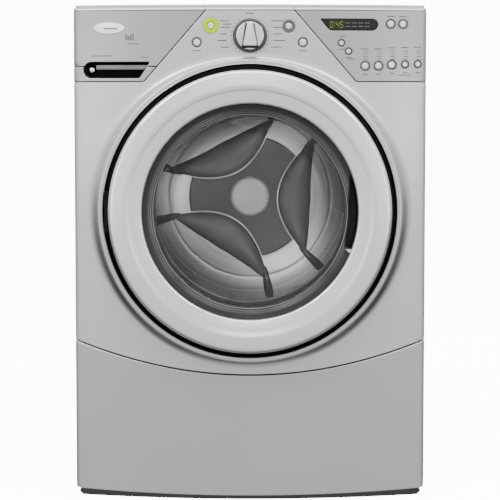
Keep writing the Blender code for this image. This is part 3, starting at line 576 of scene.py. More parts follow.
def metal(name, colour, roughness=0.3, brush=(1.0, 60.0, 1.0), scale=30.0, depth=0.05,
          worn=0.12):
    """Brushed or rolled metal, a little brighter along its edges."""
    n = Nodes(name)
    n.set(Metallic=1.0)
    lines = n.noise(scale, 6.0, 0.65, brush)
    toned = n.mix(n.spread(lines, 0.0, 1.0), *around(colour, 0.06))
    point = n.node("NewGeometry").outputs["Pointiness"]
    edge = n.spread(point, 0.0, worn, 0.52, 0.60)
    n.link(n.mix(edge, toned, rgb(0.85)), "Base Color")
    n.link(n.spread(lines, roughness - 0.05, roughness + 0.09), "Roughness")
    n.link(n.bump(lines, depth, 0.0004), "Normal")
    return n.mat


def zinc(name):
    """Galvanised sheet with its spangle."""
    n = Nodes(name)
    n.set(Metallic=0.9)
    split = n.cells(210.0)
    n.link(n.mix(split, rgb(0.53, (1, 1, 1.03)), rgb(0.58, (1, 1, 1.03))), "Base Color")
    n.link(n.spread(split, 0.42, 0.48, 0.0, 1.0), "Roughness")
    n.link(n.bump(n.noise(240.0, 3.0), 0.06, 0.0004), "Normal")
    return n.mat


def ring_metal(name, level, roughness):
    """Bright satin silver, finely turned round the door's axis."""
    n = Nodes(name)
    n.set(Metallic=0.82, Coat_Weight=0.25, Coat_Roughness=0.22)
    lines = n.rings(n.times(n.radius(), 700.0))
    drift = n.spread(n.noise(3.0, 2.0), 0.0, 1.0)
    toned = n.mix(drift, rgb(level * 0.965), rgb(level * 1.03))
    n.link(n.mix(n.times(lines, 0.25), toned, rgb(level * 0.90)), "Base Color")
    n.link(n.spread(n.noise(6.0, 2.0), roughness - 0.01, roughness + 0.02), "Roughness")
    return n.mat


def rubber(name, level):
    """Rubber with a patchy bloom."""
    n = Nodes(name)
    bloom = n.spread(n.noise(11.0, 6.0, 0.7), 0.0, 1.0)
    n.link(n.mix(bloom, rgb(level, RUBBER_TINT), rgb(level * 1.5, RUBBER_TINT)), "Base Color")
    n.link(n.spread(n.noise(90.0, 5.0), 0.58, 0.78), "Roughness")
    n.link(n.bump(n.noise(600.0, 3.0), 0.18, 0.0004), "Normal")
    return n.mat


def glass(name):
    """Smoked door glass: clear face-on, streaked and darker toward its thick rim."""
    n = Nodes(name)
    n.set(Metallic=0.0, IOR=1.50, Specular_IOR_Level=0.26, Coat_Weight=0.10,
          Coat_Roughness=0.02)
    facing = n.node("LayerWeight", {"Blend": 0.30}).outputs["Facing"]
    r = n.radius()
    rim = n.spread(r, 0.0, 1.0, 0.1830, 0.1866)
    sight = n.math("ADD", n.times(facing, 0.30), n.spread(r, 0.06, 0.42, 0.1440, 0.1830))
    n.link(n.math("MAXIMUM", sight, n.times(rim, 0.97)), "Alpha")
    lines = n.spread(n.rings(n.times(r, 300.0)), 0.0, 1.0, 0.42, 0.62)
    patch = n.spread(n.noise(9.0, 2.0), 0.2, 1.0)
    band = n.spread(r, 1.0, 0.12, 0.1960, 0.1990)
    streak = n.times(n.times(lines, patch), n.times(rim, band))
    n.link(n.mix(streak, rgb(0.024), rgb(0.16)), "Base Color")
    n.link(n.spread(n.noise(22.0, 6.0, 0.65), 0.02, 0.07), "Roughness")
    n.link(n.bump(n.noise(3.0, 2.0), 0.02, 0.002), "Normal")
    return n.mat


def drum_metal(name):
    """Stainless drum sheet with staggered rows of drain holes in its wall."""
    n = Nodes(name)
    n.set(Metallic=1.0)
    x, y, z = n.along()
    r = n.radius()
    angle = n.math("ARCTAN2", n.math("SUBTRACT", z, DOOR_Z), x)
    row = n.math("ADD", n.math("DIVIDE", y, HOLE_PITCH), HOLE_ROWS)
    odd = n.times(n.math("MODULO", n.math("FLOOR", row), 2.0), 0.5)
    column = n.math("ADD", n.math("DIVIDE", angle, 2 * math.pi / HOLES_ROUND), odd)
    fx, fy = [n.math("SUBTRACT", n.math("FRACT", value), 0.5) for value in (column, row)]
    spot = n.math("SQRT", n.math("ADD", n.times(fx, fx), n.times(fy, fy)))
    hole = n.spread(spot, 1.0, 0.0, 0.10, 0.13)
    on_wall = n.spread(r, 0.0, 1.0, 0.2560, 0.2575)
    dark = n.times(hole, on_wall)
    lines = n.rings(n.math("ADD", n.times(r, 260.0), n.times(y, 90.0)), 4.0)
    base = n.mix(on_wall, n.mix(n.spread(lines, 0.0, 1.0), rgb(0.34), rgb(0.50)), rgb(0.26))
    n.link(n.mix(dark, base, rgb(0.01)), "Base Color")
    n.link(n.spread(lines, 0.32, 0.46), "Roughness")
    dents = n.bump(n.times(dark, -1.0), 0.6, 0.001)
    n.link(n.bump(lines, 0.015, 0.0004, dents), "Normal")
    return n.mat


def glow(name, colour, strength):
    n = Nodes(name)
    flicker = n.spread(n.noise(400.0, 2.0), 0.85, 1.0)
    n.link(n.mix(flicker, rgb(0.02), colour), "Base Color")
    n.set(Roughness=0.4, Emission_Color=colour, Emission_Strength=strength)
    return n.mat


SILVER = paint("silver_paint_fine", 0.53, 0.62, 0.36)
# paint of the surround's wall, darkened on its lower sides by a painted shade
FLANK_SHADED_PAINT = paint("surround_paint_painted_shade", 0.58, 0.62, 0.34, shade=painted_wall_shade)
# a darker copy of the silver paint: painted shade on the lower panel
TOE_SHADED_PAINT = paint("toe_paint_painted_shade", 0.44, 0.62, 0.38)
CONSOLE = paint("console_paint_fine", 0.37, 0.66, 0.34)
SIDE = paint("side_paint_fine", 0.56, 0.45, 0.40, peel=0.05)
RING = ring_metal("door_ring_silver", 0.82, 0.27)
CHROME = metal("dial_chrome", (0.90, 0.90, 0.91), 0.22, (1, 1, 1), 60.0, 0.02, worn=0.0)
GRIP = plastic("grip_satin", (0.74, 0.74, 0.75), 0.30, 1400.0, 0.03, 0.05, Metallic=0.6)
# painted shadow and painted half shade for the grip's sides
GRIP_PAINTED_SHADOW = plastic("grip_painted_shadow_side", (0.030, 0.030, 0.033), 0.75, Specular_IOR_Level=0.08)
GRIP_PAINTED_HALF_SHADE = plastic("grip_painted_half_shade_side", (0.150, 0.150, 0.155), 0.70, Specular_IOR_Level=0.08)
DARK = plastic("dark_moulding", (0.030, 0.030, 0.033), 0.38)
# black that stands for shade: the door recess, the gap under the toe panel and the door's finger
# pocket
SHADE_BLACK = plastic("black_recess_painted_shade", (0.010, 0.010, 0.011), 0.55)
GREY = plastic("grey_moulding", (0.20, 0.20, 0.205), 0.46)
LIP_GREY = plastic("pull_bar_grey", (0.150, 0.150, 0.155), 0.36, Metallic=0.3)
PALE = plastic("pale_moulding", (0.70, 0.70, 0.68), 0.48)
CAP = plastic("button_satin", (0.76, 0.76, 0.77), 0.26, 1400.0, 0.04, 0.05, Metallic=0.45)
# darker grey of the bezels, partly painted shade round each cap
CAP_RING_SHADED = plastic("button_bezel_and_painted_shade", (0.22, 0.22, 0.225), 0.32, 1400.0, 0.04, 0.05, Metallic=0.4)
PAUSE_RING = plastic("pause_ring_grey", (0.085, 0.085, 0.088), 0.36, 1400.0, 0.04, 0.05)
LIME = plastic("start_ring_lime", (0.34, 0.48, 0.0), 0.62, 1200.0, 0.03, 0.08,
               Specular_IOR_Level=0.05, Emission_Color=(0.50, 0.80, 0.0, 1.0),
               Emission_Strength=0.22)
DISPLAY = plastic("display_gloss", (0.006, 0.007, 0.006), 0.14, 300.0, 0.01, 0.2,
                  Specular_IOR_Level=0.28)
DIGIT = glow("digit_green", (0.22, 0.27, 0.10, 1.0), 0.16)
DIGIT_BACK = plastic("digit_backing", (0.020, 0.028, 0.004), 0.55, 600.0, 0.02, 0.1,
                     Specular_IOR_Level=0.15)
FAINT = plastic("display_faint_marks", (0.16, 0.17, 0.17), 0.35)
INK = plastic("printed_ink", (0.110, 0.110, 0.115), 0.55, 900.0, 0.03)
AMBER = plastic("lamp_amber", (0.50, 0.44, 0.16), 0.35, 900.0, 0.03)
GLASS = glass("smoked_glass")
RUBBER = rubber("seal_rubber", 0.085)
FOOT_RUBBER = rubber("foot_rubber", 0.03)
STEEL = metal("bright_steel", (0.62, 0.62, 0.63), 0.26, (1, 1, 30), 40.0)
DRUM = drum_metal("drum_stainless")
DRUM_DARK = plastic("drum_back_dark", (0.105, 0.105, 0.108), 0.46, 500.0, 0.04, Metallic=0.3)
LEAF = plastic("leaf_grey", (0.150, 0.150, 0.155), 0.42, 700.0, 0.06)
LIGHT_LINE = metal("leaf_edge_line", (0.80, 0.80, 0.81), 0.40)
HUB = plastic("hub_cap", (0.62, 0.62, 0.62), 0.50, 500.0, 0.02, Metallic=0.2)
ZINC = zinc("zinc_sheet")
ALLOY = metal("cast_alloy_raw", (0.50, 0.50, 0.51), 0.5, (1, 1, 1), 180.0, 0.35)
BRASS = metal("valve_brass", (0.62, 0.47, 0.20), 0.32, (1, 1, 1), 80.0)
MOTOR = metal("motor_coat", (0.16, 0.165, 0.17), 0.45, (1, 1, 1), 120.0, 0.1)
BOARD = plastic("board_green", (0.03, 0.14, 0.06), 0.5)
BADGE = plastic("badge_pearl", (0.96, 0.96, 0.97), 0.20, 900.0, 0.02, 0.03)
# black steel; in the drawer's finger recess it is painted shade, and the hinge is kept black so it
# sits in the shade of the door gap
BLACKED_SHADE = plastic("blacked_steel_painted_shade", (0.007, 0.007, 0.008), 0.80, 500.0, 0.05,
                  Specular_IOR_Level=0.10)
CONCRETE = plastic("cast_concrete", (0.34, 0.33, 0.31), 0.9, 220.0, 0.8, 0.2)


# ---------------------------------------------------------------- front skins
def slant_x(z, gap=0.0):
    return SLANT_TOP[0] + (SLANT_TOP[1] - z) * SLANT + gap * math.hypot(1.0, SLANT)



def curve(start, meet, end, count=8):
    """A bend from start to end that leaves and arrives along the lines through meet."""
    return [tuple(start[i] * (1 - t) ** 2 + meet[i] * 2 * t * (1 - t) + end[i] * t * t
                  for i in (0, 1)) for t in [k / count for k in range(count + 1)]]


RIM_R = 0.2940          # the surround's rim, its fall outward, and the bend into the skin
RIM_Y = -0.3600
RIM_LEAN = (0.3095 - RIM_R) / 0.060
RIM_FILLET = 0.012
RIM_SPREAD = 0.013


def surround_profile(angle):
    """One radial cut of the raised door surround, from its hidden back to the bowed skin."""
    c = math.cos(angle)

    def skin(r):
        return front_y(r * c)

    r = RIM_R
    for _ in range(30):
        r = RIM_R + (skin(r) - RIM_Y) * RIM_LEAN
    rise = min(RIM_FILLET, 0.75 * (r - RIM_R) / RIM_LEAN)
    start = (r - rise * RIM_LEAN, skin(r) - rise)
    end = (r + RIM_SPREAD, skin(r + RIM_SPREAD))
    blend = curve(start, (r, skin(r)), end)
    straight = [tuple(a + (b - a) * k / 4 for a, b in zip((RIM_R, RIM_Y), start))
                for k in (1, 2, 3)]
    back = [(end[0], end[1] + SKIN), (r + 0.001, skin(r) + SKIN), (0.2925, -0.3565),
            (0.2890, -0.3588), (0.2870, -0.3570), (0.2865, -0.3290), (0.2815, -0.3216),
            (0.2300, -0.3215)]
    front = [(0.2136, -0.3215), (0.2130, -0.3221), (0.2130, -0.3239), (0.2138, -0.3245),
             (0.2300, -0.3245), (0.2700, -0.3245), (0.2790, -0.3246), (0.2818, -0.3258),
             (0.2832, -0.3286), (0.2835, -0.3330), (0.2835, -0.3500), (0.2835, -0.3590),
             (0.2838, -0.3608), (0.2846, -0.3620), (0.2860, -0.3625), (0.2890, -0.3627),
             (0.2915, -0.3625), (0.2930, -0.3618), (RIM_R, RIM_Y)]
    return back + front + straight + blend


def bow_line(middle_z, side_z, lift=0.0):
    """A line across the front that rises toward the sides."""
    return [(x, middle_z + (side_z - middle_z) * (x / HALF_W) ** 2 + lift)
            for x in [HALF_W * i / 24 for i in range(-24, 25)]]


def front_panel():
    """Front skin with the raised door surround turned up out of it."""
    steps = 192
    angles = [2 * math.pi * k / steps for k in range(steps)]
    cuts = [surround_profile(a) for a in angles]
    bm = bmesh.new()
    columns = []
    for a, profile in zip(angles, cuts):
        columns.append([bm.verts.new((r * math.cos(a), y, DOOR_Z + r * math.sin(a)))
                        for r, y in profile])
    count = len(cuts[0])
    # the door recess's wall and floor take the black of painted shade; the surround's wall takes
    # its paint with painted shade
    dark, flank = range(6, 20), range(count - 13, count)
    for near, far in zip(columns, columns[1:] + columns[:1]):
        for i in range(count - 1):
            face = bm.faces.new((near[i], near[i + 1], far[i + 1], far[i]))
            face.material_index = 1 if i in dark else 2 if i in flank else 0
    rim = [polar(profile[-1][0], a) for a, profile in zip(angles, cuts)]
    level, top = CONSOLE_Z - SEAM, PANEL_TOP_Z
    outline = bow_line(SEAM_MID_Z, SEAM_SIDE_Z, TOE_SEAM)
    outline += [(HALF_W, level), (slant_x(level, -SEAM), level), (slant_x(top, -SEAM), top),
                (-slant_x(top, -SEAM), top), (-slant_x(level, -SEAM), level), (-HALF_W, level)]
    radii = [0.006] + [0] * 47 + [0.006] + [0.004, 0.004, 0.0015, 0.0015, 0.004, 0.004]
    loop = densify(rounded(outline, radii), 0.010)
    holes = [circle(0.0, KNOB_Z, 0.0300, 48)]
    for name in CENTRE_BUTTONS:
        x, _, z = middle(name)
        holes.append(circle(x, z, hole_radius(name), 36))
    skin = panel([to_s(loop)] + [to_s(h) for h in holes], on_front, joins=[to_s(rim)])
    obj = make("front_panel_skin", joined(bm, skin), [SILVER, SHADE_BLACK, FLANK_SHADED_PAINT], "cabinet",
               "front_panel", weld=2e-5)
    wall = (-0.340, -0.310)
    for low, high in HINGE_SLOTS:
        cut(obj, box_bm((-0.2800, -0.2720), wall, (DOOR_Z + low, DOOR_Z + high)))
    cut(obj, box_bm((0.2400, 0.2630), wall, (DOOR_Z - STRIKE_SLOT, DOOR_Z + STRIKE_SLOT)))


HINGE_SLOTS = ((0.0285, 0.0415), (-0.0415, -0.0285))
STRIKE_SLOT = 0.011


def toe_panel():
    arch = bow_line(SEAM_MID_Z, SEAM_SIDE_Z, -TOE_SEAM)[::-1]
    foot = bow_line(TOE_MID_Z, TOE_SIDE_Z)
    outline = foot[:1] + foot[2:-2] + foot[-1:] + arch
    radii = [0.013] + [0] * 45 + [0.013, 0.006] + [0] * 47 + [0.006]
    loop = densify(rounded(outline, radii), 0.010)
    make("toe_panel_skin", panel([to_s(loop)], on_toe, edge=0.0022), TOE_SHADED_PAINT, "cabinet",
         "toe_panel")


def toe_shadow_strip():
    """Black strip in the gap between the toe panel and the floor, as painted shadow under the toe.
    """
    rings = []
    for x in [(HALF_W - 0.0120) * i / 60 for i in range(-60, 61)]:
        share = (x / HALF_W) ** 2
        edge = TOE_MID_Z + (TOE_SIDE_Z - TOE_MID_Z) * share
        low = 0.0014 + 0.0042 * share
        y = on_toe(s_of(x), edge).y
        rings.append([(x, y + 0.0016, edge + 0.0060), (x, y + 0.0010, low + 0.0006),
                      (x, y + 0.0016, low), (x, y + 0.0046, low), (x, y + 0.0050, edge + 0.0060)])
    make("toe_painted_shadow_strip", solid(rings), SHADE_BLACK, "cabinet", sharp=40)


RECESS_X = (-0.323, -0.1930)
RECESS_Z = (0.824, 0.855)
RECESS_LEAN = 0.0205


def recess_loop(grow):
    """Outline of the finger recess: round at its left end, slanted at its right end."""
    left, right = RECESS_X[0] - grow, RECESS_X[1] + grow
    low, high = RECESS_Z[0] - grow, RECESS_Z[1] + grow
    radius = 0.5 * (high - low)
    mid = (left + radius, low + radius)
    turn = [math.radians(90.0 + 180.0 * i / 16) for i in range(17)]
    loop = [(mid[0] + radius * math.cos(a), mid[1] + radius * math.sin(a)) for a in turn]
    corners = [(mid[0], low), (right - RECESS_LEAN - grow, low), (right, high), (mid[0], high)]
    loop += rounded(corners, 0.003, 3, False)[1:-1]
    return densify(loop, 0.0015)


def drawer_surround():
    level, split = CONSOLE_Z + SEAM, DRAWER_Z - SEAM
    notch = [p for p in recess_loop(0.0006) if p[1] < split][::-1]
    outline = [(-HALF_W, split), (-HALF_W, level), (-slant_x(level, SEAM), level),
               (-slant_x(split, SEAM), split)]
    outline += [(notch[0][0] + 0.0004, split)] + notch + [(notch[-1][0] - 0.0004, split)]
    loop = densify(turned(outline), 0.008)
    make("drawer_surround_skin", panel([to_s(loop)], on_front, edge=0.0009), CONSOLE, "cabinet",
         "drawer_surround")


def drawer_front():
    """Drawer front, its finger cup and the pull bar in the cup."""
    split, top = DRAWER_Z + SEAM, PANEL_TOP_Z
    ring = recess_loop(0.0)
    low = [i for i, p in enumerate(ring) if p[1] <= split + 0.0002]
    upper = ring[:low[0]][::-1] + ring[low[-1] + 1:][::-1]
    outline = [(-HALF_W, top), (-HALF_W, split), (upper[0][0] - 0.0003, split)] + upper
    outline += [(upper[-1][0] - 0.0030, split), (-slant_x(split, SEAM), split),
                (-slant_x(top, SEAM), top)]
    loop = densify(turned(outline), 0.008)
    skin = panel([to_s(loop)], on_front, edge=0.0009)
    make("drawer_front_skin", skin, CONSOLE, "drawer", "drawer_front")
    ring = densify(turned(recess_loop(-0.0004)), 0.006)
    # the finger cup's black is painted shade in the recess
    make("drawer_finger_cup", cup(to_s(ring), on_front, 0.0013, 0.0030, 0.0265), BLACKED_SHADE,
         "drawer")
    bar = rounded([(-0.3000, 0.8398), (-0.2030, 0.8398), (-0.1975, 0.8490), (-0.3000, 0.8490)],
                  0.003)
    make("drawer_pull_bar", slab(to_s(densify(turned(bar), 0.006)), on_front, 0.0052, 0.0255,
                                 0.0016), LIP_GREY, "drawer")
    spot = on_front(s_of(-0.3085), 0.8395, 0.008)
    stud = lathe([(0.0, spot.y - 0.0020), (0.0030, spot.y - 0.0018), (0.0046, spot.y - 0.0006),
                  (0.0050, spot.y + 0.0010), (0.0050, spot.y + 0.0180), (0.0, spot.y + 0.0180)],
                 32, (spot.x, spot.z))
    make("drawer_release_stud", stud, CHROME, "drawer")
    ribs = [box_bm((x, x + 0.004), (front_y(x) + 0.0050, -0.2937), (0.862, 0.922), 0.0005)
            for x in (-0.300, -0.192)]
    make("drawer_front_ribs", joined(*ribs), PALE, "drawer")


def display_loop(grow):
    low, high, right = 0.9145 - grow, 0.9375 + grow, 0.2475 + grow
    radius = 0.5 * (high - low)
    turn = [math.radians(-90.0 + 180.0 * i / 16) for i in range(17)]
    end = [(right - radius + radius * math.cos(a), low + radius + radius * math.sin(a))
           for a in turn]
    return end + rounded([(0.20, high), (0.134 - grow, high), (0.153 - grow, low), (0.20, low)],
                         [0, 0.004, 0.006, 0], 4, False)[1:-1]


def control_panel():
    level, top = CONSOLE_Z + SEAM, PANEL_TOP_Z
    outline = [(slant_x(level, SEAM), level), (HALF_W, level), (HALF_W, top),
               (slant_x(top, SEAM), top)]
    loop = densify(rounded(outline, [0.004, 0.004, 0.004, 0.0015]), 0.008)
    holes = [densify(display_loop(0.0), 0.006)]
    for name in PANEL_BUTTONS:
        x, _, z = middle(name)
        holes.append(circle(x, z, hole_radius(name), 36))
    make("control_panel_skin", panel([to_s(loop)] + [to_s(h) for h in holes], on_front,
                                     edge=0.0009), CONSOLE, "cabinet",
         "control_panel")
    window = slab(to_s(densify(turned(display_loop(-0.0004)), 0.006)), on_front, 0.0005, 0.0026,
                  0.0004, 0.012)
    make("display_window_gloss", window, DISPLAY, "cabinet", "display_window")


# ---------------------------------------------------------------- marks, digits, badge
def bar_bm(x, z, width, height, angle=0.0, lift=0.00012, thick=0.0003):
    """A small flat bar laid on the front, centred on x and z."""
    c, s = math.cos(angle), math.sin(angle)
    ring = []
    for u, v in ((-0.5, -0.5), (0.5, -0.5), (0.5, 0.5), (-0.5, 0.5)):
        a, b = u * width, v * height
        ring.append((x + a * c - b * s, z + a * s + b * c))
    ring = turned(densify(ring, 0.009))
    return slab([(s_of(px), pz) for px, pz in ring], on_front, -lift, thick, 0.00008, 0.05)


SEGMENTS = {"0": "abcdef", "4": "fgbc", "5": "afgcd"}


def digit_bars(char, x, z, width, height):
    """Seven-segment bars of one numeral."""
    w, h, t = width, height, 0.0013
    places = {"a": (0, h / 2, w, t), "g": (0, 0, w, t), "d": (0, -h / 2, w, t),
              "f": (-w / 2, h / 4, t, h / 2), "b": (w / 2, h / 4, t, h / 2),
              "e": (-w / 2, -h / 4, t, h / 2), "c": (w / 2, -h / 4, t, h / 2)}
    return [bar_bm(x + dx + dz * 0.12, z + dz, max(wide - 0.0012, t), max(high - 0.0012, t),
                   **RAISED) for dx, dz, wide, high in [places[key] for key in SEGMENTS[char]]]


RAISED = {"lift": -0.00036, "thick": 0.0006}
DIGITS = (("0", 0.1570), ("4", 0.1680), ("5", 0.1760))
DIGIT_Z = 0.9262
TICKS = 22
TICK_R = 0.0361
CENTRE_BUTTONS = ["start_button", "drum_light_button", "pause_button", "power_button"]
PANEL_BUTTONS = ["delay_up_button", "delay_down_button", "signal_button", "lock_button",
                 "temperature_button", "spin_button", "soil_button", "rinse_button",
                 "prewash_button"]
# buttons, and the bars beside each of them: offset across, offset up, width, height
BUTTON_LABELS = (
    (PANEL_BUTTONS[4:], ((0.0, -0.0160, 0.0095, 0.0018), (-0.0012, 0.0330, 0.0150, 0.0018))),
    (PANEL_BUTTONS[:2], ((0.0, 0.0150, 0.0165, 0.0019),)),
    (PANEL_BUTTONS[2:4], ((0.0, -0.0120, 0.0120, 0.0016),)),
    (("drum_light_button", "power_button"), ((0.0, -0.0160, 0.0160, 0.0018),)),
)
# single bars: place across, height above the floor, width, height
PANEL_PRINT = ((0.0, 0.9475, 0.016, 0.0020), (-0.0440, 0.9268, 0.0190, 0.0019),
               (-0.0475, 0.9206, 0.0190, 0.0019), (0.178, 0.9035, 0.0130, 0.0017),
               (0.196, 0.8600, 0.0130, 0.0017), (0.3000, 0.8295, 0.0240, 0.0016))
DRAWER_PRINT = ((-0.2250, 0.8895, 0.0220, 0.0016), (-0.2880, 0.8665, 0.0420, 0.0018),
                (-0.2030, 0.8640, 0.0150, 0.0018))


def dot(x, z):
    return bar_bm(x, z, 0.0011, 0.0011, **RAISED)


def display_marks():
    """Lit numerals, the field behind them and the unlit icons beside them."""
    digits = [bar for char, x in DIGITS
              for bar in digit_bars(char, x, DIGIT_Z, 0.0052, 0.0110)]
    digits += [dot(0.1625, DIGIT_Z + dz) for dz in (-0.0022, 0.0022)]
    make("display_numerals", joined(*digits), DIGIT, "cabinet")
    make("display_lit_field", bar_bm(0.1672, 0.9260, 0.0290, 0.0175, lift=-0.00045,
                                     thick=0.0004), DIGIT_BACK, "cabinet")
    faint = [bar_bm(0.1880 + 0.0125 * k, 0.9296 - 0.0068 * row, 0.0095, 0.0014, **RAISED)
             for k in range(4) for row in range(2)]
    make("display_faint_icons", joined(*faint), FAINT, "cabinet")


def dial_marks():
    """Bars for the programme names on both sides of the dial, and ticks round it."""
    ink = []
    for k in range(5):
        z = 0.9330 - 0.0125 * k
        near = 0.0405 + (0.004 if k in (1, 2, 3) else 0.0)
        for side in (-1, 1):
            if side > 0 or k != 1:
                reach = (0.024 - 0.003 * (k % 3)) * (1.0 if side > 0 else 0.75)
                ink.append(bar_bm(side * (near + 0.5 * reach), z, reach, 0.0021))
    for k in range(TICKS):
        a = math.radians(-235.0 + 290.0 * k / (TICKS - 1))
        ink.append(bar_bm(TICK_R * math.cos(a), KNOB_Z + TICK_R * math.sin(a), 0.0030, 0.0008, a))
    return ink


def marks():
    """Printed bars that stand where words and icons are, and the lamps."""
    display_marks()
    ink = dial_marks()
    for names, labels in BUTTON_LABELS:
        for name in names:
            x, _, z = middle(name)
            ink += [bar_bm(x + dx, z + dz, wide, high) for dx, dz, wide, high in labels]
    ink += [bar_bm(*spot) for spot in PANEL_PRINT]
    on_drawer = [bar_bm(-0.2390 + 0.0044 * k, 0.8965 + 0.5 * high, 0.0034, high)
                 for k, high in enumerate((0.0120, 0.0085, 0.0100, 0.0130))]
    on_drawer.append(bar_bm(-0.2690, 0.9190, 0.0260, 0.0026, lift=0.0023))
    on_drawer += [bar_bm(*spot) for spot in DRAWER_PRINT]
    make("drawer_print", joined(*on_drawer), INK, "drawer")
    make("panel_print", joined(*ink), INK, "cabinet")
    lamps, labels = [], []
    for name in PANEL_BUTTONS[4:]:
        x = middle(name)[0]
        for k in range(4):
            z = 0.8760 - 0.0052 * k
            lamps.append(bar_bm(x - 0.0060, z, 0.0016, 0.0016))
            labels.append(bar_bm(x + 0.0016, z, 0.0095 - 0.0012 * (k % 2), 0.0014))
    make("panel_lamps", joined(*lamps), AMBER, "cabinet")
    make("panel_small_print", joined(*labels), INK, "cabinet")


def badge():
    """A plain domed oval plate on the drawer front."""
    bm = bmesh.new()
    x0, z0, half_wide, half_high = -0.2725, 0.9200, 0.0300, 0.0108
    rows = []
    for share, lift in ((1.0, -0.0002), (1.0, 0.0004), (0.985, 0.0009), (0.95, 0.0013),
                        (0.88, 0.0014), (0.84, 0.0011), (0.70, 0.0014), (0.45, 0.0018),
                        (0.20, 0.0020), (0.0005, 0.0021)):
        rows.append([on_front(s_of(x0 + half_wide * x), z0 + half_high * z, -lift)
                     for x, z in circle(0.0, 0.0, share, 72)])
    bridge(bm, rows)
    make("drawer_badge_blank", bm, BADGE, "drawer", weld=2e-5)


# ---------------------------------------------------------------- buttons and knob
def cap_radius(name):
    low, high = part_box(name)
    return 0.5 * (high[0] - low[0]) - 0.0024


def hole_radius(name):
    return cap_radius(name) + {"start_button": 0.0074, "pause_button": 0.0046}.get(name, 0.0025)


def shear_to_front(bm, x):
    """Lay a turned shape on the bowed surface at x."""
    slope = 2.0 * BULGE * x / HALF_W ** 2
    for vert in bm.verts:
        vert.co.y += front_y(x) + slope * (vert.co.x - x)
    return bm


def buttons():
    """A satin cap on each button's body, and the bezel round it. The cap's outer rim and the bezel
    take a darker grey that is partly painted shade round each cap.
    """
    for name in CENTRE_BUTTONS + PANEL_BUTTONS:
        x, _, z = middle(name)
        r = cap_radius(name)
        crown = spline([(0.00001, -0.00215), (r * 0.40, -0.00220), (r * 0.58, -0.00215),
                        (r * 0.69, -0.0017), (r * 0.79, -0.0006), (r * 0.90, 0.0002),
                        (r - 0.0001, 0.0004)], 5)
        profile = crown + [(r, 0.0008), (r, 0.0036), (r + 0.0012, 0.0038), (r + 0.0012, 0.0050),
                           (0.00001, 0.0050)]
        # the outer part of the cap's crown takes the bezel's darker grey as painted shade
        split = int(0.72 * len(crown))
        indices = [0 if i < split else 1 for i in range(len(profile) - 1)]
        cap = lathe(profile, 64, (x, z), indices=indices)
        start = name == "start_button"
        make(name + "_cap", shear_to_front(cap, x), [CAP, LIME if start else CAP_RING_SHADED], name,
             name)
        hole, inner = hole_radius(name), r + 0.0005
        if hole - inner > 0.004:
            ring = [(inner, 0.0020), (inner + 0.0001, 0.0), (inner + 0.0004, -0.0010),
                    (0.5 * (inner + hole), -0.0014), (hole - 0.0003, -0.0010),
                    (hole + 0.0001, 0.0004)]
        else:
            ring = [(inner, 0.0022), (inner + 0.0005, 0.0018), (inner + 0.0010, 0.0010),
                    (hole - 0.0004, 0.0001), (hole - 0.0001, -0.0001), (hole + 0.0001, 0.0003)]
        ring = spline(ring, 4) + [(hole + 0.0001, 0.0034), (inner, 0.0034)]
        look = LIME if start else PAUSE_RING if name == "pause_button" else CAP_RING_SHADED
        make(name + "_bezel", shear_to_front(lathe(ring, 64, (x, z), closed=True), x), look,
             "cabinet")


def knob():
    """Bright dial with a dark skirt, and the tapered grip across it."""
    face = front_y(0.0)
    skirt = spline([(0.0268, face - 0.0066), (0.0285, face - 0.0071), (0.0312, face - 0.0062),
                    (0.0327, face - 0.0036), (0.0330, face - 0.0010)], 6)
    skirt += [(0.0322, face - 0.0006), (0.0040, face - 0.0006), (0.0040, face + 0.0190),
              (0.00001, face + 0.0190)]
    dial = spline([(0.00001, face - 0.0094), (0.0080, face - 0.0093), (0.0180, face - 0.0089),
                   (0.0246, face - 0.0085), (0.0262, face - 0.0078), (0.0268, face - 0.0066)], 8)
    split = len(dial) - 1
    profile = dial + skirt[1:]
    indices = [0 if i < split else 1 for i in range(len(profile) - 1)]
    make("cycle_knob_dial", lathe(profile, 128, (0.0, KNOB_Z), indices=indices), [CHROME, DARK],
         "knob", "cycle_knob")
    rows = []
    for narrow, rise in ((0.0, 0.0080), (0.04, 0.0105), (0.85, 0.0218), (0.95, 0.0230),
                         (1.05, 0.0235), (1.35, 0.0237)):
        top = (0.0092 - 0.0044 * narrow, 0.0242 - 0.0012 * narrow)
        foot = (0.0164 - 0.0030 * narrow, -0.0242 + 0.0050 * narrow)
        corners = [(-top[0], top[1]), (-foot[0], foot[1]), foot, top]
        loop = rounded(corners, [0.002, 0.003, 0.003, 0.002], 6)
        rows.append([(x, face - rise, KNOB_Z + z) for x, z in loop])
    grip = solid(rows)
    # the grip's left side and lower end take painted shadow, its right side painted half shade
    for side in grip.faces:
        spot = side.calc_center_median()
        if len(side.verts) == 4 and spot.y > face - 0.0226:
            dark = spot.z < KNOB_Z - 0.0185 or spot.x < -0.0030
            side.material_index = 1 if dark else 2 if spot.x > 0.0030 else 0
    make("cycle_knob_grip", grip, [GRIP, GRIP_PAINTED_SHADOW, GRIP_PAINTED_HALF_SHADE], "knob",
         sharp=60)


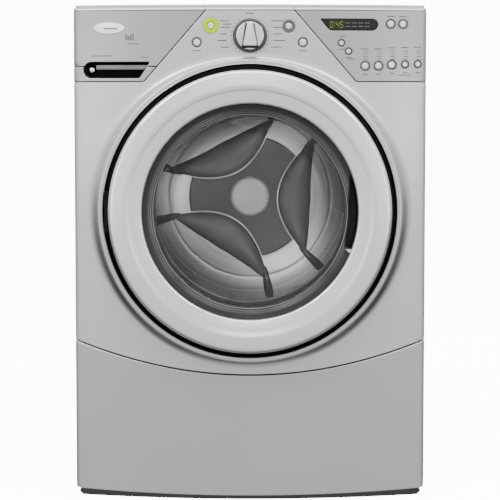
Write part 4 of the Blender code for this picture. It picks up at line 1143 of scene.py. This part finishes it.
# ---------------------------------------------------------------- door
def door_ring():
    inner = spline([(0.2074, -0.3748), (0.2074, -0.3840), (0.2078, -0.3868), (0.2092, -0.3885),
                    (0.2120, -0.3896), (0.2200, -0.3910), (0.2280, -0.3920), (0.2310, -0.3924)], 4)
    outer = spline([(0.2330, -0.3928), (0.2355, -0.3936), (0.2385, -0.3943), (0.2415, -0.3946),
                    (0.2445, -0.3945), (0.2520, -0.3937), (0.2620, -0.3924), (0.2670, -0.3914),
                    (0.2700, -0.3896), (0.2718, -0.3866), (0.2726, -0.3820), (0.2729, -0.3760),
                    (0.2730, -0.3690)], 5)
    back = [(0.2730, -0.3560), (0.2728, -0.3536), (0.2720, -0.3530), (0.2606, -0.3530),
            (0.2600, -0.3536), (0.2600, -0.3606), (0.2594, -0.3612), (0.2106, -0.3612),
            (0.2100, -0.3618), (0.2100, -0.3738), (0.2096, -0.3744), (0.2080, -0.3744)]
    obj = make("door_ring_bright", lathe(inner + outer + back, 224, closed=True), RING,
               "door", "door_ring", sharp=50)
    cut(obj, box_bm((-0.2850, -0.2575), (-0.3740, -0.340), (DOOR_Z - 0.050, DOOR_Z + 0.050)))


def sector_bm(inner, outer, half, low, high, steps=48):
    """Part of a ring round the door's axis, as a closed solid."""
    turn = [math.radians(half * (2 * i / steps - 1)) for i in range(steps + 1)]
    loop = [polar(outer, a) for a in turn] + [polar(inner, a) for a in reversed(turn)]
    bm = bmesh.new()
    n = len(loop)
    for row in bridge(bm, [[(x, y, z) for x, z in loop] for y in (low, high)]):
        for i in range(steps):
            bm.faces.new((row[i], row[i + 1], row[n - 2 - i], row[n - 1 - i]))
    return bm


def door_glass():
    """Bowl of smoked glass, with its printed rim and the finger pocket cut out."""
    front = spline([(0.00001, -0.2180), (0.0500, -0.2186), (0.0950, -0.2206), (0.1240, -0.2236),
                    (0.1390, -0.2275), (0.1480, -0.2340), (0.1530, -0.2430), (0.1600, -0.2720),
                    (0.1690, -0.3080), (0.1770, -0.3400), (0.1808, -0.3560), (0.1822, -0.3625)],
                   6)
    lip = spline([(0.1822, -0.3625), (0.1836, -0.3658), (0.1862, -0.3672), (0.1900, -0.3674)], 4)
    flange = [(0.1960, -0.3678), (0.2040, -0.3686), (0.2078, -0.3690), (0.2086, -0.3686),
              (0.2088, -0.3676), (0.2088, -0.3616), (0.2084, -0.3612), (0.1880, -0.3612)]
    back = spline([(0.1855, -0.3606), (0.1846, -0.3560), (0.1808, -0.3400), (0.1728, -0.3070),
                   (0.1640, -0.2710), (0.1568, -0.2405), (0.1515, -0.2300), (0.1410, -0.2228),
                   (0.1250, -0.2190), (0.0950, -0.2162), (0.0500, -0.2141), (0.00001, -0.2136)], 6)
    obj = make("door_glass_bowl", lathe(front + lip[1:] + flange + back, 160), GLASS, "door",
               "door_glass", sharp=60)
    cut(obj, pocket_cutter())
    rings = []
    for r, y, w in ((0.1872, -0.36755, 0.0006), (0.2085, -0.3693, 0.0006)):
        rings.append(lathe([(r - w, y), (r - w * 0.5, y - 0.0004), (r + w * 0.5, y - 0.0004),
                            (r + w, y)], 160, closed=True))
    trim = make("door_glass_rim_lines", joined(*rings), GREY, "door", sharp=60)
    cut(trim, pocket_cutter())


POCKET_IN = 0.1893
POCKET_OUT = 0.2085
POCKET_HALF_ANGLE = 20.3
POCKET_Y = -0.3694
WEDGE_ANGLE = -21.3


def crescent(grow):
    """Outline of the finger pocket: drawn to a point above, squared off below."""
    count = 48
    far, near = [], []
    for i in range(count + 1):
        share = i / count
        a = math.radians(POCKET_HALF_ANGLE * (2 * share - 1))
        r = POCKET_IN + 0.0150 * max(0.0, (share - 0.55) / 0.45) ** 1.8
        r += 0.0050 * max(0.0, (0.22 - share) / 0.22) ** 1.6
        far.append(polar(POCKET_OUT + grow, a))
        near.append(polar(r - grow, a))
    return far + near[::-1]


def pocket_cutter():
    return solid([[(x, y, z) for x, z in crescent(0.0006)] for y in (-0.3800, -0.3500)])


def door_handle():
    """Finger pocket behind the ring, and the small wedge that ends it."""
    def flat(u, v, depth):
        return Vector((u, POCKET_Y + depth, v))

    bm = cup(turned(crescent(0.0)), flat, 0.0012, 0.0, 0.0345)
    # the pocket's black is painted shade
    make("door_handle_pocket", bm, SHADE_BLACK, "door", "door_handle")
    turn = Matrix.Rotation(math.radians(WEDGE_ANGLE), 2)
    corners = [(0.1975, 0.0002), (0.2078, 0.0042), (0.2078, -0.0040)]
    places = [turn @ Vector(corner) for corner in rounded(corners, 0.0008, 4)]
    rings = [[(p.x, y, DOOR_Z + p.y) for p in places] for y in (-0.3690, -0.3738, -0.3742)]
    make("door_handle_end", solid(rings), RING, "door", sharp=50)


def door_inner_frame():
    """Inner moulding with its screws, ribs and the strike."""
    profile = rounded([(0.1872, -0.3609), (0.2590, -0.3609), (0.2595, -0.3345), (0.2550, -0.3312),
                       (0.2350, -0.3312), (0.2320, -0.3330), (0.2060, -0.3330), (0.2030, -0.3312),
                       (0.1925, -0.3312), (0.1872, -0.3360)], 0.0015, 4)
    obj = make("door_inner_frame_moulding", lathe(profile, 192, closed=True), GREY, "door",
               "door_inner_frame")
    cut(obj, sector_bm(0.1750, 0.2333, 21.3, -0.3700, -0.3347))
    low, high = DOOR_Z - 0.006, DOOR_Z + 0.006
    strike = joined(box_bm((0.2480, 0.2560), (-0.3325, -0.3000), (low, high), 0.0008),
                    box_bm((0.2450, 0.2490), (-0.3060, -0.3002), (low, high), 0.0008))
    make("door_strike", strike, STEEL, "door")
    screws = [screw_head(*polar(0.2470, math.radians(18.0 + 36.0 * k)), -0.3310, 0.0040)
              for k in range(10)]
    make("door_frame_screws", joined(*screws), STEEL, "door")


def screw_head(x, z, y, radius):
    """A pan-head screw with a cross recess, its axis along Y."""
    profile = spline([(0.00001, y + 0.0012), (radius * 0.6, y + 0.0011),
                      (radius * 0.93, y + 0.0006), (radius, y - 0.0004)], 4)
    depth = (y + 0.0009, y + 0.00135)
    long, thin = radius * 0.5, radius * 0.09
    arms = [box_bm((x - a, x + a), depth, (z - b, z + b)) for a, b in ((long, thin), (thin, long))]
    return joined(lathe(profile, 24, (x, z)), *arms)


def bellows():
    """Grey rubber seal with its folds, between the front panel and the tub."""
    outer = spline([(0.2085, -0.3262), (0.2118, -0.3235), (0.2116, -0.3120), (0.2050, -0.3050),
                    (0.2000, -0.2960), (0.2060, -0.2880), (0.2115, -0.2780), (0.2060, -0.2680),
                    (0.2000, -0.2600), (0.2060, -0.2500), (0.2116, -0.2400), (0.2116, -0.2250),
                    (0.2110, -0.2176)], 5)
    inner = spline([(0.2020, -0.2176), (0.2010, -0.2260), (0.2040, -0.2400), (0.1990, -0.2500),
                    (0.1950, -0.2600), (0.2000, -0.2690), (0.2045, -0.2780), (0.1990, -0.2870),
                    (0.1948, -0.2960), (0.1985, -0.3060), (0.2010, -0.3160), (0.2030, -0.3250),
                    (0.2085, -0.3262)], 5)
    obj = make("bellows_rubber", lathe(outer + inner[:-1], 160, closed=True), RUBBER, None,
               (), 60)
    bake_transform(obj)
    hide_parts("bellows")


# ---------------------------------------------------------------- drum
LEAF_ANGLES = (-2.0, 118.0, 238.0)
LEAF_Y = 0.2052
# across a leaf: share of its width, and rise above the back of the drum
LEAF_SECTION = ((0.0, 0.0), (0.03, 0.010), (0.08, 0.016), (0.25, 0.021), (0.50, 0.024),
                (0.75, 0.021), (0.93, 0.015), (1.0, 0.0), (0.5, -0.001))
LINE_R = 0.0022


def drum():
    wall_out = [(0.2450, -0.2055), (0.2540, -0.2030), (0.2595, -0.1965), (0.2610, -0.1880),
                (0.2610, 0.1960), (0.2595, 0.2040), (0.2540, 0.2080), (0.00001, 0.2080)]
    lip = spline([(0.2450, -0.2055), (0.2200, -0.2057), (0.1960, -0.2056), (0.1908, -0.2050),
                  (0.1896, -0.2038), (0.1904, -0.2026), (0.1950, -0.2018), (0.2200, -0.2022),
                  (0.2420, -0.2010), (0.2540, -0.1960), (0.2592, -0.1860)], 5)
    wall_in = [(0.2596, y) for y in [-0.16 + 0.02 * i for i in range(17)]]
    back = spline([(0.2594, 0.1780), (0.2575, 0.1900), (0.2510, 0.1975), (0.2420, 0.2000),
                   (0.1830, 0.2005), (0.1805, 0.2025), (0.1780, 0.2028), (0.1755, 0.2010),
                   (0.1380, 0.2012), (0.1330, 0.2030)], 5)
    centre = [(0.1315, 0.2050), (0.0900, 0.2050), (0.0600, 0.2045), (0.00001, 0.2045)]
    profile = wall_out[::-1] + lip[1:] + wall_in + back + centre
    dark_from = len(profile) - len(centre) - 1
    indices = [1 if i >= dark_from else 0 for i in range(len(profile) - 1)]
    make("drum_sheet", lathe(profile, 192, indices=indices), [DRUM, DRUM_DARK], "drum",
         "drum_shell", sharp=50)
    hub = spline([(0.00001, 0.1925), (0.0200, 0.1928), (0.0340, 0.1940), (0.0400, 0.1965),
                  (0.0430, 0.2010), (0.0440, 0.2046)], 6)
    make("drum_hub_cap", lathe(hub, 96), HUB, "drum", sharp=60)
    for number, angle in enumerate(LEAF_ANGLES, 1):
        leaf(number, angle)


def leaf(number, angle):
    """One leaf-shaped pressing on the back of the drum, with its light inner edge line."""
    chord, bow, half, count = 0.1300, 0.0680, 0.1260, 56
    turn = Matrix.Rotation(math.radians(angle), 2)

    def near_edge(t):
        return chord - bow * max(0.0, math.cos(0.5 * math.pi * t / half)) ** 0.9

    def far_edge(t):
        return chord + 0.004 + 0.006 * (t / half) ** 3

    def at(u, v, y):
        point = turn @ Vector((u, v))
        return Vector((point.x, y, DOOR_Z + point.y))

    rings, lines = [], []
    for t in [half * (2.0 * i / count - 1.0) for i in range(count + 1)]:
        near, far = near_edge(t), far_edge(t)
        ease = 0.06 + 0.94 * max(0.0, 1.0 - (t / half) ** 4)
        rings.append([at(near + (far - near) * share, t, LEAF_Y - rise * ease)
                      for share, rise in LEAF_SECTION])
        u = near_edge(0.97 * t) - 0.0012
        lines.append([at(u + LINE_R * math.cos(a), 0.97 * t, LEAF_Y - LINE_R * (1 + math.sin(a)))
                      for a in [0.25 * math.pi * k for k in range(8)]])
    make(f"drum_leaf_{number}", solid(rings), LEAF, "drum", sharp=60)
    make(f"drum_leaf_line_{number}", solid(lines), LIGHT_LINE, "drum", sharp=80)
    # the dark ridges at each leaf's ends are partly painted shade running out from the leaf tips
    tails = []
    for side in (-1, 1):
        lean = math.atan2(side * half, chord + 0.004)
        way = Vector((math.cos(lean), math.sin(lean)))
        across = way.orthogonal()
        rows = []
        for share in [k / 8 for k in range(9)]:
            reach, wide = 0.158 + 0.090 * share, 0.0060 + 0.0090 * share
            high = 0.0054 * math.sin(math.pi * min(1.0, 0.10 + share))
            row = []
            for u, lift in ((-1.0, 0.0), (-0.8, 0.5), (-0.4, 0.95), (0.0, 1.0), (0.4, 0.95),
                            (0.8, 0.5), (1.0, 0.0), (0.0, -0.3)):
                spot = way * reach + across * (u * wide)
                row.append(at(spot.x, spot.y, LEAF_Y - 0.0032 - high * lift))
            rows.append(row)
        tails.append(solid(rows))
    make(f"drum_leaf_ends_{number}", joined(*tails), DRUM_DARK, "drum",
         sharp=60)


def baffles():
    """Tall ribbed lifters along the drum wall."""
    section = spline([(0.2563, 0.0335), (0.2500, 0.0290), (0.2340, 0.0190), (0.2215, 0.0115),
                      (0.2182, 0.0), (0.2215, -0.0115), (0.2340, -0.0190), (0.2500, -0.0290),
                      (0.2563, -0.0335)], 4)
    base, peak, ends, count = 0.2563, 0.2182, 6.0, 40
    for number, angle in enumerate(LEAF_ANGLES, 1):
        turn = Matrix.Rotation(math.radians(angle + 60.0), 2)
        rings = []
        for i in range(count + 1):
            y = -0.165 + 0.340 * i / count
            end = min(1.0, min(i, count - i) / ends)
            rise = 0.0405 * (0.02 + 0.98 * math.sqrt(max(0.0, 1.0 - (1.0 - end) ** 2)))
            row = [turn @ Vector((base - (base - u) / (base - peak) * rise * 0.94, v))
                   for u, v in section] + [turn @ Vector((0.2585, 0.0))]
            rings.append([(p.x, y, DOOR_Z + p.y) for p in row])
        make(f"baffle_{number}_moulding", solid(rings), GREY, "drum",
             f"baffle_{number}", sharp=60)


# ---------------------------------------------------------------- cabinet outside
def springs():
    """Two coils that stretch between the cabinet and the tub."""
    turns, steps, wire, sides = 6, 24, 0.0019, 10
    end = 0.0020
    around = [2.0 * math.pi * k / sides for k in range(sides)]
    for name in ("suspension_spring_left", "suspension_spring_right"):
        low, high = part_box(name)
        x, y, _ = middle(name)
        coil = 0.5 * (high[0] - low[0]) - end
        rings = []
        for i in range(turns * steps + 1):
            turn = 2.0 * math.pi * i / steps
            out = Vector((math.cos(turn), math.sin(turn), 0.0))
            height = low[2] + end + (high[2] - low[2] - 2 * end) * i / (turns * steps)
            centre = Vector((x, y, height)) + coil * out
            rings.append([centre + wire * (math.cos(a) * out + math.sin(a) * Vector((0, 0, 1)))
                          for a in around])
        obj = make(f"{name}_coil", solid(rings), STEEL, None, sharp=60)
        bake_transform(obj)
        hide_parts(name)


def top_panel():
    """Lid with a soft front edge that follows the bow."""
    low, high = PANEL_TOP_Z + 0.0003, float(CAD_BOX[1][2])
    rear = 0.386
    front = [(x, front_y(x) - 0.0015) for x in
             [HALF_W * math.sin(0.5 * math.pi * i / 40) for i in range(-40, 41)]]
    loop = turned(densify(front + [(HALF_W, rear), (-HALF_W, rear)], 0.03))
    bm = bmesh.new()
    rows = []
    lip = spline([(0.0000, low + 0.0010), (0.0005, low + 0.0026), (0.0018, low + 0.0044),
                  (0.0036, low + 0.0058), (0.0046, low + 0.0063)], 3)
    edge = spline([(0.0040, high - 0.0032), (0.0040, high - 0.0018), (0.0046, high - 0.0007),
                   (0.0058, high - 0.0001), (0.0070, high)], 3)
    for gap, z in [(0.012, low + 0.0085), (0.012, low), (0.0012, low), (0.0003, low + 0.0004)] + \
            lip + [(0.0044, high - 0.0036)] + edge + [(0.0085, high)]:
        rows.append([(u, v, z) for u, v in inset(loop, gap)])
    bridge(bm, rows)
    fill(bm, [inset(loop, 0.0085)], lambda u, v, d: Vector((u, v, high)), 0, 0.05)
    fill(bm, [inset(loop, 0.012)], lambda u, v, d: Vector((u, v, low + 0.0085)), 0, 0.08)
    obj = make("top_panel_lid", bm, SIDE, "cabinet", "top_panel")
    for side in (-1, 1):
        x = side * slant_x(PANEL_TOP_Z)
        cut(obj, box_bm((x - 0.0007, x + 0.0007), (front_y(x) - 0.0040, front_y(x) + 0.0060),
                        (low - 0.0010, high - 0.0030)))


def soften(node, mat, width=0.0008, segments=2):
    """Give a CAD node its finish and a small edge radius."""
    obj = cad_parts[node]
    for slot in obj.material_slots:
        slot.material = mat
    weld = obj.modifiers.new("Weld", "WELD")
    weld.merge_threshold = 0.00002
    bevel = obj.modifiers.new("Bevel", "BEVEL")
    bevel.width = width
    bevel.segments = segments
    bevel.limit_method = "ANGLE"
    bevel.angle_limit = math.radians(40.0)
    obj.data.shade_smooth()
    obj.data.set_sharp_from_angle(angle=math.radians(40.0))
    even = obj.modifiers.new("Even", "WEIGHTED_NORMAL")
    even.keep_sharp = True
    even.weight = 90


BACK_Y = 0.382
COVER_Y = 0.3845
# screws of the access cover and of the back: places across, heights, depth
REAR_SCREWS = (((-0.247, 0.0, 0.247), (0.113, 0.827), COVER_Y),
               ((-0.247, 0.247), (0.300, 0.480, 0.660), COVER_Y),
               ((-0.325, 0.325), (0.060, 0.330, 0.620, 0.930), BACK_Y))


def cabinet_details():
    """Screws, louvres, transport caps and inlet threads on the back."""
    screws = [screw_head(x, z, y, 0.0045) for xs, zs, y in REAR_SCREWS for x in xs for z in zs]
    make("rear_screws", joined(*screws), STEEL, "cabinet")
    slots = [louvre(x - 0.030, x + 0.030, 0.700 + 0.0120 * k, BACK_Y)
             for x in (-0.295, 0.295) for k in range(9)]
    make("rear_louvres", joined(*slots), SIDE, "cabinet")
    cap = spline([(0.00001, BACK_Y + 0.0050), (0.0110, BACK_Y + 0.0048),
                  (0.0150, BACK_Y + 0.0036), (0.0165, BACK_Y + 0.0012),
                  (0.0195, BACK_Y + 0.0010), (0.0200, BACK_Y - 0.0002)], 5)
    caps = [lathe(cap, 48, (x, z)) for z in (0.240, 0.560) for x in (-0.292, 0.292)]
    make("rear_transport_caps", joined(*caps), DARK, "cabinet")
    thread = []
    for y in [0.3838 + 0.0013 * k for k in range(8)]:
        thread += [(0.01330, y), (0.01335, y + 0.0003), (0.01345, y + 0.00065)]
    thread.append((0.0133, 0.3945))
    threads = [lathe(thread, 64, (x, 0.910)) for x in (-0.255, -0.205)]
    make("inlet_threads", joined(*threads), BRASS, "cabinet")


def louvre(x_low, x_high, z, y):
    """One pressed vent: a raised hood, open below."""
    rings = []
    for k in range(13):
        t = k / 12
        ends = 0.05 + 0.95 * math.sqrt(max(0.0, 1 - (2 * t - 1) ** 6))
        rings.append([(x_low + (x_high - x_low) * t, y + dy * ends + 0.0001, z + dz * ends)
                      for dy, dz in ((0.0001, 0.0040), (0.0016, 0.0030), (0.0026, 0.0012),
                                     (0.0030, -0.0010), (0.0024, -0.0012), (0.0012, 0.0002),
                                     (0.0001, 0.0012))])
    return solid(rings)


def feet():
    """Rubber pad, locknut and threaded stem of each levelling foot."""
    pad = rounded([(0.00001, 0.0), (0.0200, 0.0), (0.0220, 0.0022), (0.0220, 0.0060),
                   (0.0190, 0.0078), (0.0110, 0.0096), (0.00001, 0.0096)], 0.0012, 4, False)
    stem = [(0.0058, 0.0090)]
    for z in [0.0170 + 0.0015 * k for k in range(20)]:
        stem += [(0.0060, z), (0.0054, z + 0.00075)]
    stem += [(0.0056, 0.0476), (0.00001, 0.0479)]
    for name in [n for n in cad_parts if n.startswith("levelling_foot")]:
        x, y, _ = middle(name)
        make(name + "_pad", lathe(pad, 64, (x, y), "Z"), FOOT_RUBBER, name, name)
        nut = bmesh.new()
        bridge(nut, [[(u, v, z) for u, v in circle(x, y, r, 6)]
                     for r, z in ((0.0085, 0.0097), (0.0115, 0.0101), (0.0120, 0.0108),
                                  (0.0120, 0.0156), (0.0115, 0.0163), (0.0070, 0.0165))])
        make(name + "_stem", joined(nut, lathe(stem, 32, (x, y), "Z")), STEEL, name,
             sharp=35)


# ---------------------------------------------------------------- stage
def studio_sky():
    """Surroundings for reflections, by angle off the front axis and by clock angle round it."""
    world = bpy.data.worlds.new("studio_world")
    bpy.context.scene.world = world
    n = Nodes("studio_world", world)
    x, y, z = n.along()

    def levels(value, stops, span):
        shares = [(place / span, level / SKY_SCALE) for place, level in stops]
        return n.ramp(n.math("DIVIDE", value, span), shares)

    clock = n.math("DEGREES", n.math("ARCTAN2", n.math("ABSOLUTE", x), z))
    off = n.math("DEGREES", n.math("ARCCOSINE", n.times(y, -1.0)))
    level = rgb(SKY_AHEAD / SKY_SCALE)
    for step, farther in zip(SKY_STEPS, (levels(clock, SKY_NEAR, 180.0),
                                         levels(clock, SKY_WIDE, 180.0),
                                         levels(n.math("ADD", z, 1.0), SKY_ROUND, 2.0))):
        level = n.mix(n.spread(off, 0.0, 1.0, *step), level, farther)
    n.link(level, "Color")
    n.set(Strength=SKY_SCALE)


def stage():
    """Floor that runs up into a wall, the sky, the lights and the lamps in the drum."""
    sweep = [0.5 * math.pi * k / 16 for k in range(1, 17)]
    rows = [(-FLOOR_REACH, 0.0), (WALL_Y - WALL_BEND, 0.0)]
    rows += [(WALL_Y - WALL_BEND * (1 - math.sin(a)), WALL_BEND * (1 - math.cos(a)))
             for a in sweep]
    rows.append((WALL_Y, 6.0))
    bm = bmesh.new()
    bridge(bm, [[(x, y, z - 0.0002) for x in (-FLOOR_REACH, FLOOR_REACH)] for y, z in rows],
           closed=False)
    n = Nodes("studio_floor")
    n.link(n.mix(n.noise(2.0), rgb(0.88), rgb(0.92)), "Base Color")
    n.link(n.spread(n.noise(6.0), 0.6, 0.75), "Roughness")
    n.set(Emission_Color=(1.0, 1.0, 1.0, 1.0), Emission_Strength=FLOOR_GLOW)
    obj = make("studio_floor", bm, n.mat, None)
    obj.visible_glossy = False
    obj.visible_diffuse = False
    studio_sky()
    for light in LIGHTS:
        softbox(*light)
    for number, (angle, power) in enumerate(DRUM_LAMPS, 1):
        x, z = polar(0.190, math.radians(angle))
        lamp = softbox(f"drum_lamp_{number}", (x, -0.130, z), (0.0, 0.200, DOOR_Z), 0.12, 0.03,
                       power)
        lamp.visible_camera = False
        lamp.visible_transmission = False


FLOOR_REACH = 24.0
WALL_Y = 20.0
WALL_BEND = 1.6
SKY_SCALE = 4.0          # levels below are by angle: clock degrees, or 1 + height
SKY_AHEAD = 0.70
SKY_STEPS = ((3.0, 9.0), (27.0, 38.0), (56.0, 70.0))
SKY_NEAR = ((0, 3.9), (10, 3.2), (24, 0.35), (36, 0.40), (50, 0.95), (64, 1.4), (90, 1.5),
            (112, 1.0), (180, 1.0))
SKY_WIDE = ((0, 1.0), (30, 0.65), (52, 1.9), (66, 1.9), (90, 0.95), (110, 0.50), (128, 0.30),
            (150, 0.32), (180, 0.38))
SKY_ROUND = ((0.0, 0.05), (0.85, 0.08), (0.95, 0.50), (1.02, 1.05), (1.6, 0.80), (2.0, 0.80))
FLOOR_GLOW = 12.0
DRUM_LAMPS = ((58.0, 0.30), (178.0, 0.30), (298.0, 0.30))
LIGHTS = (
    ("left", (-1.8, -2.1, 2.7), (0.0, -0.3, 0.70), 0.9, 1.3, 62.0),
    ("right", (1.8, -2.1, 2.7), (0.0, -0.3, 0.70), 0.9, 1.3, 52.0),
    ("top", (0.0, -1.5, 2.9), (0.0, -0.2, 0.6), 2.0, 0.9, 50.0),
    ("strip_left", (-1.60, -2.46, 0.66), (-0.31, -0.32, 0.62), 0.35, 0.60, 4.5),
    ("strip_right", (1.60, -2.46, 0.66), (0.31, -0.32, 0.62), 0.35, 0.60, 4.0),
    ("back", (0.3, 3.0, 2.6), (0.0, 0.2, 0.5), 2.2, 1.6, 70.0),
)


def aimed(name, data, place, target):
    """Put a light or camera at a place, looking at another."""
    obj = bpy.data.objects.new(name, data)
    obj.location = place
    aim = Vector(target) - Vector(place)
    obj.rotation_euler = aim.to_track_quat("-Z", "Y").to_euler()
    bpy.context.scene.collection.objects.link(obj)
    return obj


def softbox(name, place, target, wide, high, power):
    light = bpy.data.lights.new(name, "AREA")
    light.shape = "RECTANGLE"
    light.size, light.size_y = wide, high
    light.energy = power
    return aimed(name, light, place, target)


def camera():
    """A long lens from a little above, its frame just taller than the machine."""
    face, distance, frame_high, height, aim_z = -0.31, 3.9, 0.975, 0.80, 0.4889
    data = bpy.data.cameras.new("camera")
    data.sensor_width = 36.0
    data.lens = 36.0 * distance / frame_high
    bpy.context.scene.camera = aimed("camera", data, (0.0, face - distance, height),
                                     (0.0, face, aim_z))


for build in (camera, front_panel, toe_panel, toe_shadow_strip, drawer_surround, drawer_front,
              control_panel, marks, badge, buttons, knob, door_ring, door_glass, door_handle,
              door_inner_frame, bellows, drum, baffles, top_panel, cabinet_details, feet):
    build()
for node, mat, width in (
        ("cabinet_wrap", SIDE, 0.0008), ("rear_access_panel", ZINC, 0.0006),
        ("base_frame", ZINC, 0.001), ("hinge_bracket", BLACKED_SHADE, 0.0004),
        ("hinge_arm", BLACKED_SHADE, 0.0004),
        ("door_lock", DARK, 0.0008), ("dispenser_housing", PALE, 0.0008),
        ("drawer_tray", PALE, 0.0006), ("control_board", BOARD, 0.0006),
        ("drain_pump", DARK, 0.0008), ("water_inlet_valve", BRASS, 0.0006),
        ("damper_tube_left", DARK, 0.0006), ("damper_tube_right", DARK, 0.0006),
        ("damper_rod_left", STEEL, 0.0004), ("damper_rod_right", STEEL, 0.0004),
        ("tub_front", PALE, 0.001), ("tub_rear", PALE, 0.001),
        ("counterweight_front", CONCRETE, 0.002), ("motor_body", MOTOR, 0.001),
        ("motor_pulley", ALLOY, 0.0004), ("drum_bearing", STEEL, 0.0004),
        ("drive_belt", FOOT_RUBBER, 0.0003), ("drum_spider", ALLOY, 0.002),
        ("drum_pulley", ALLOY, 0.0008)):
    soften(node, mat, width)
springs()
stage()
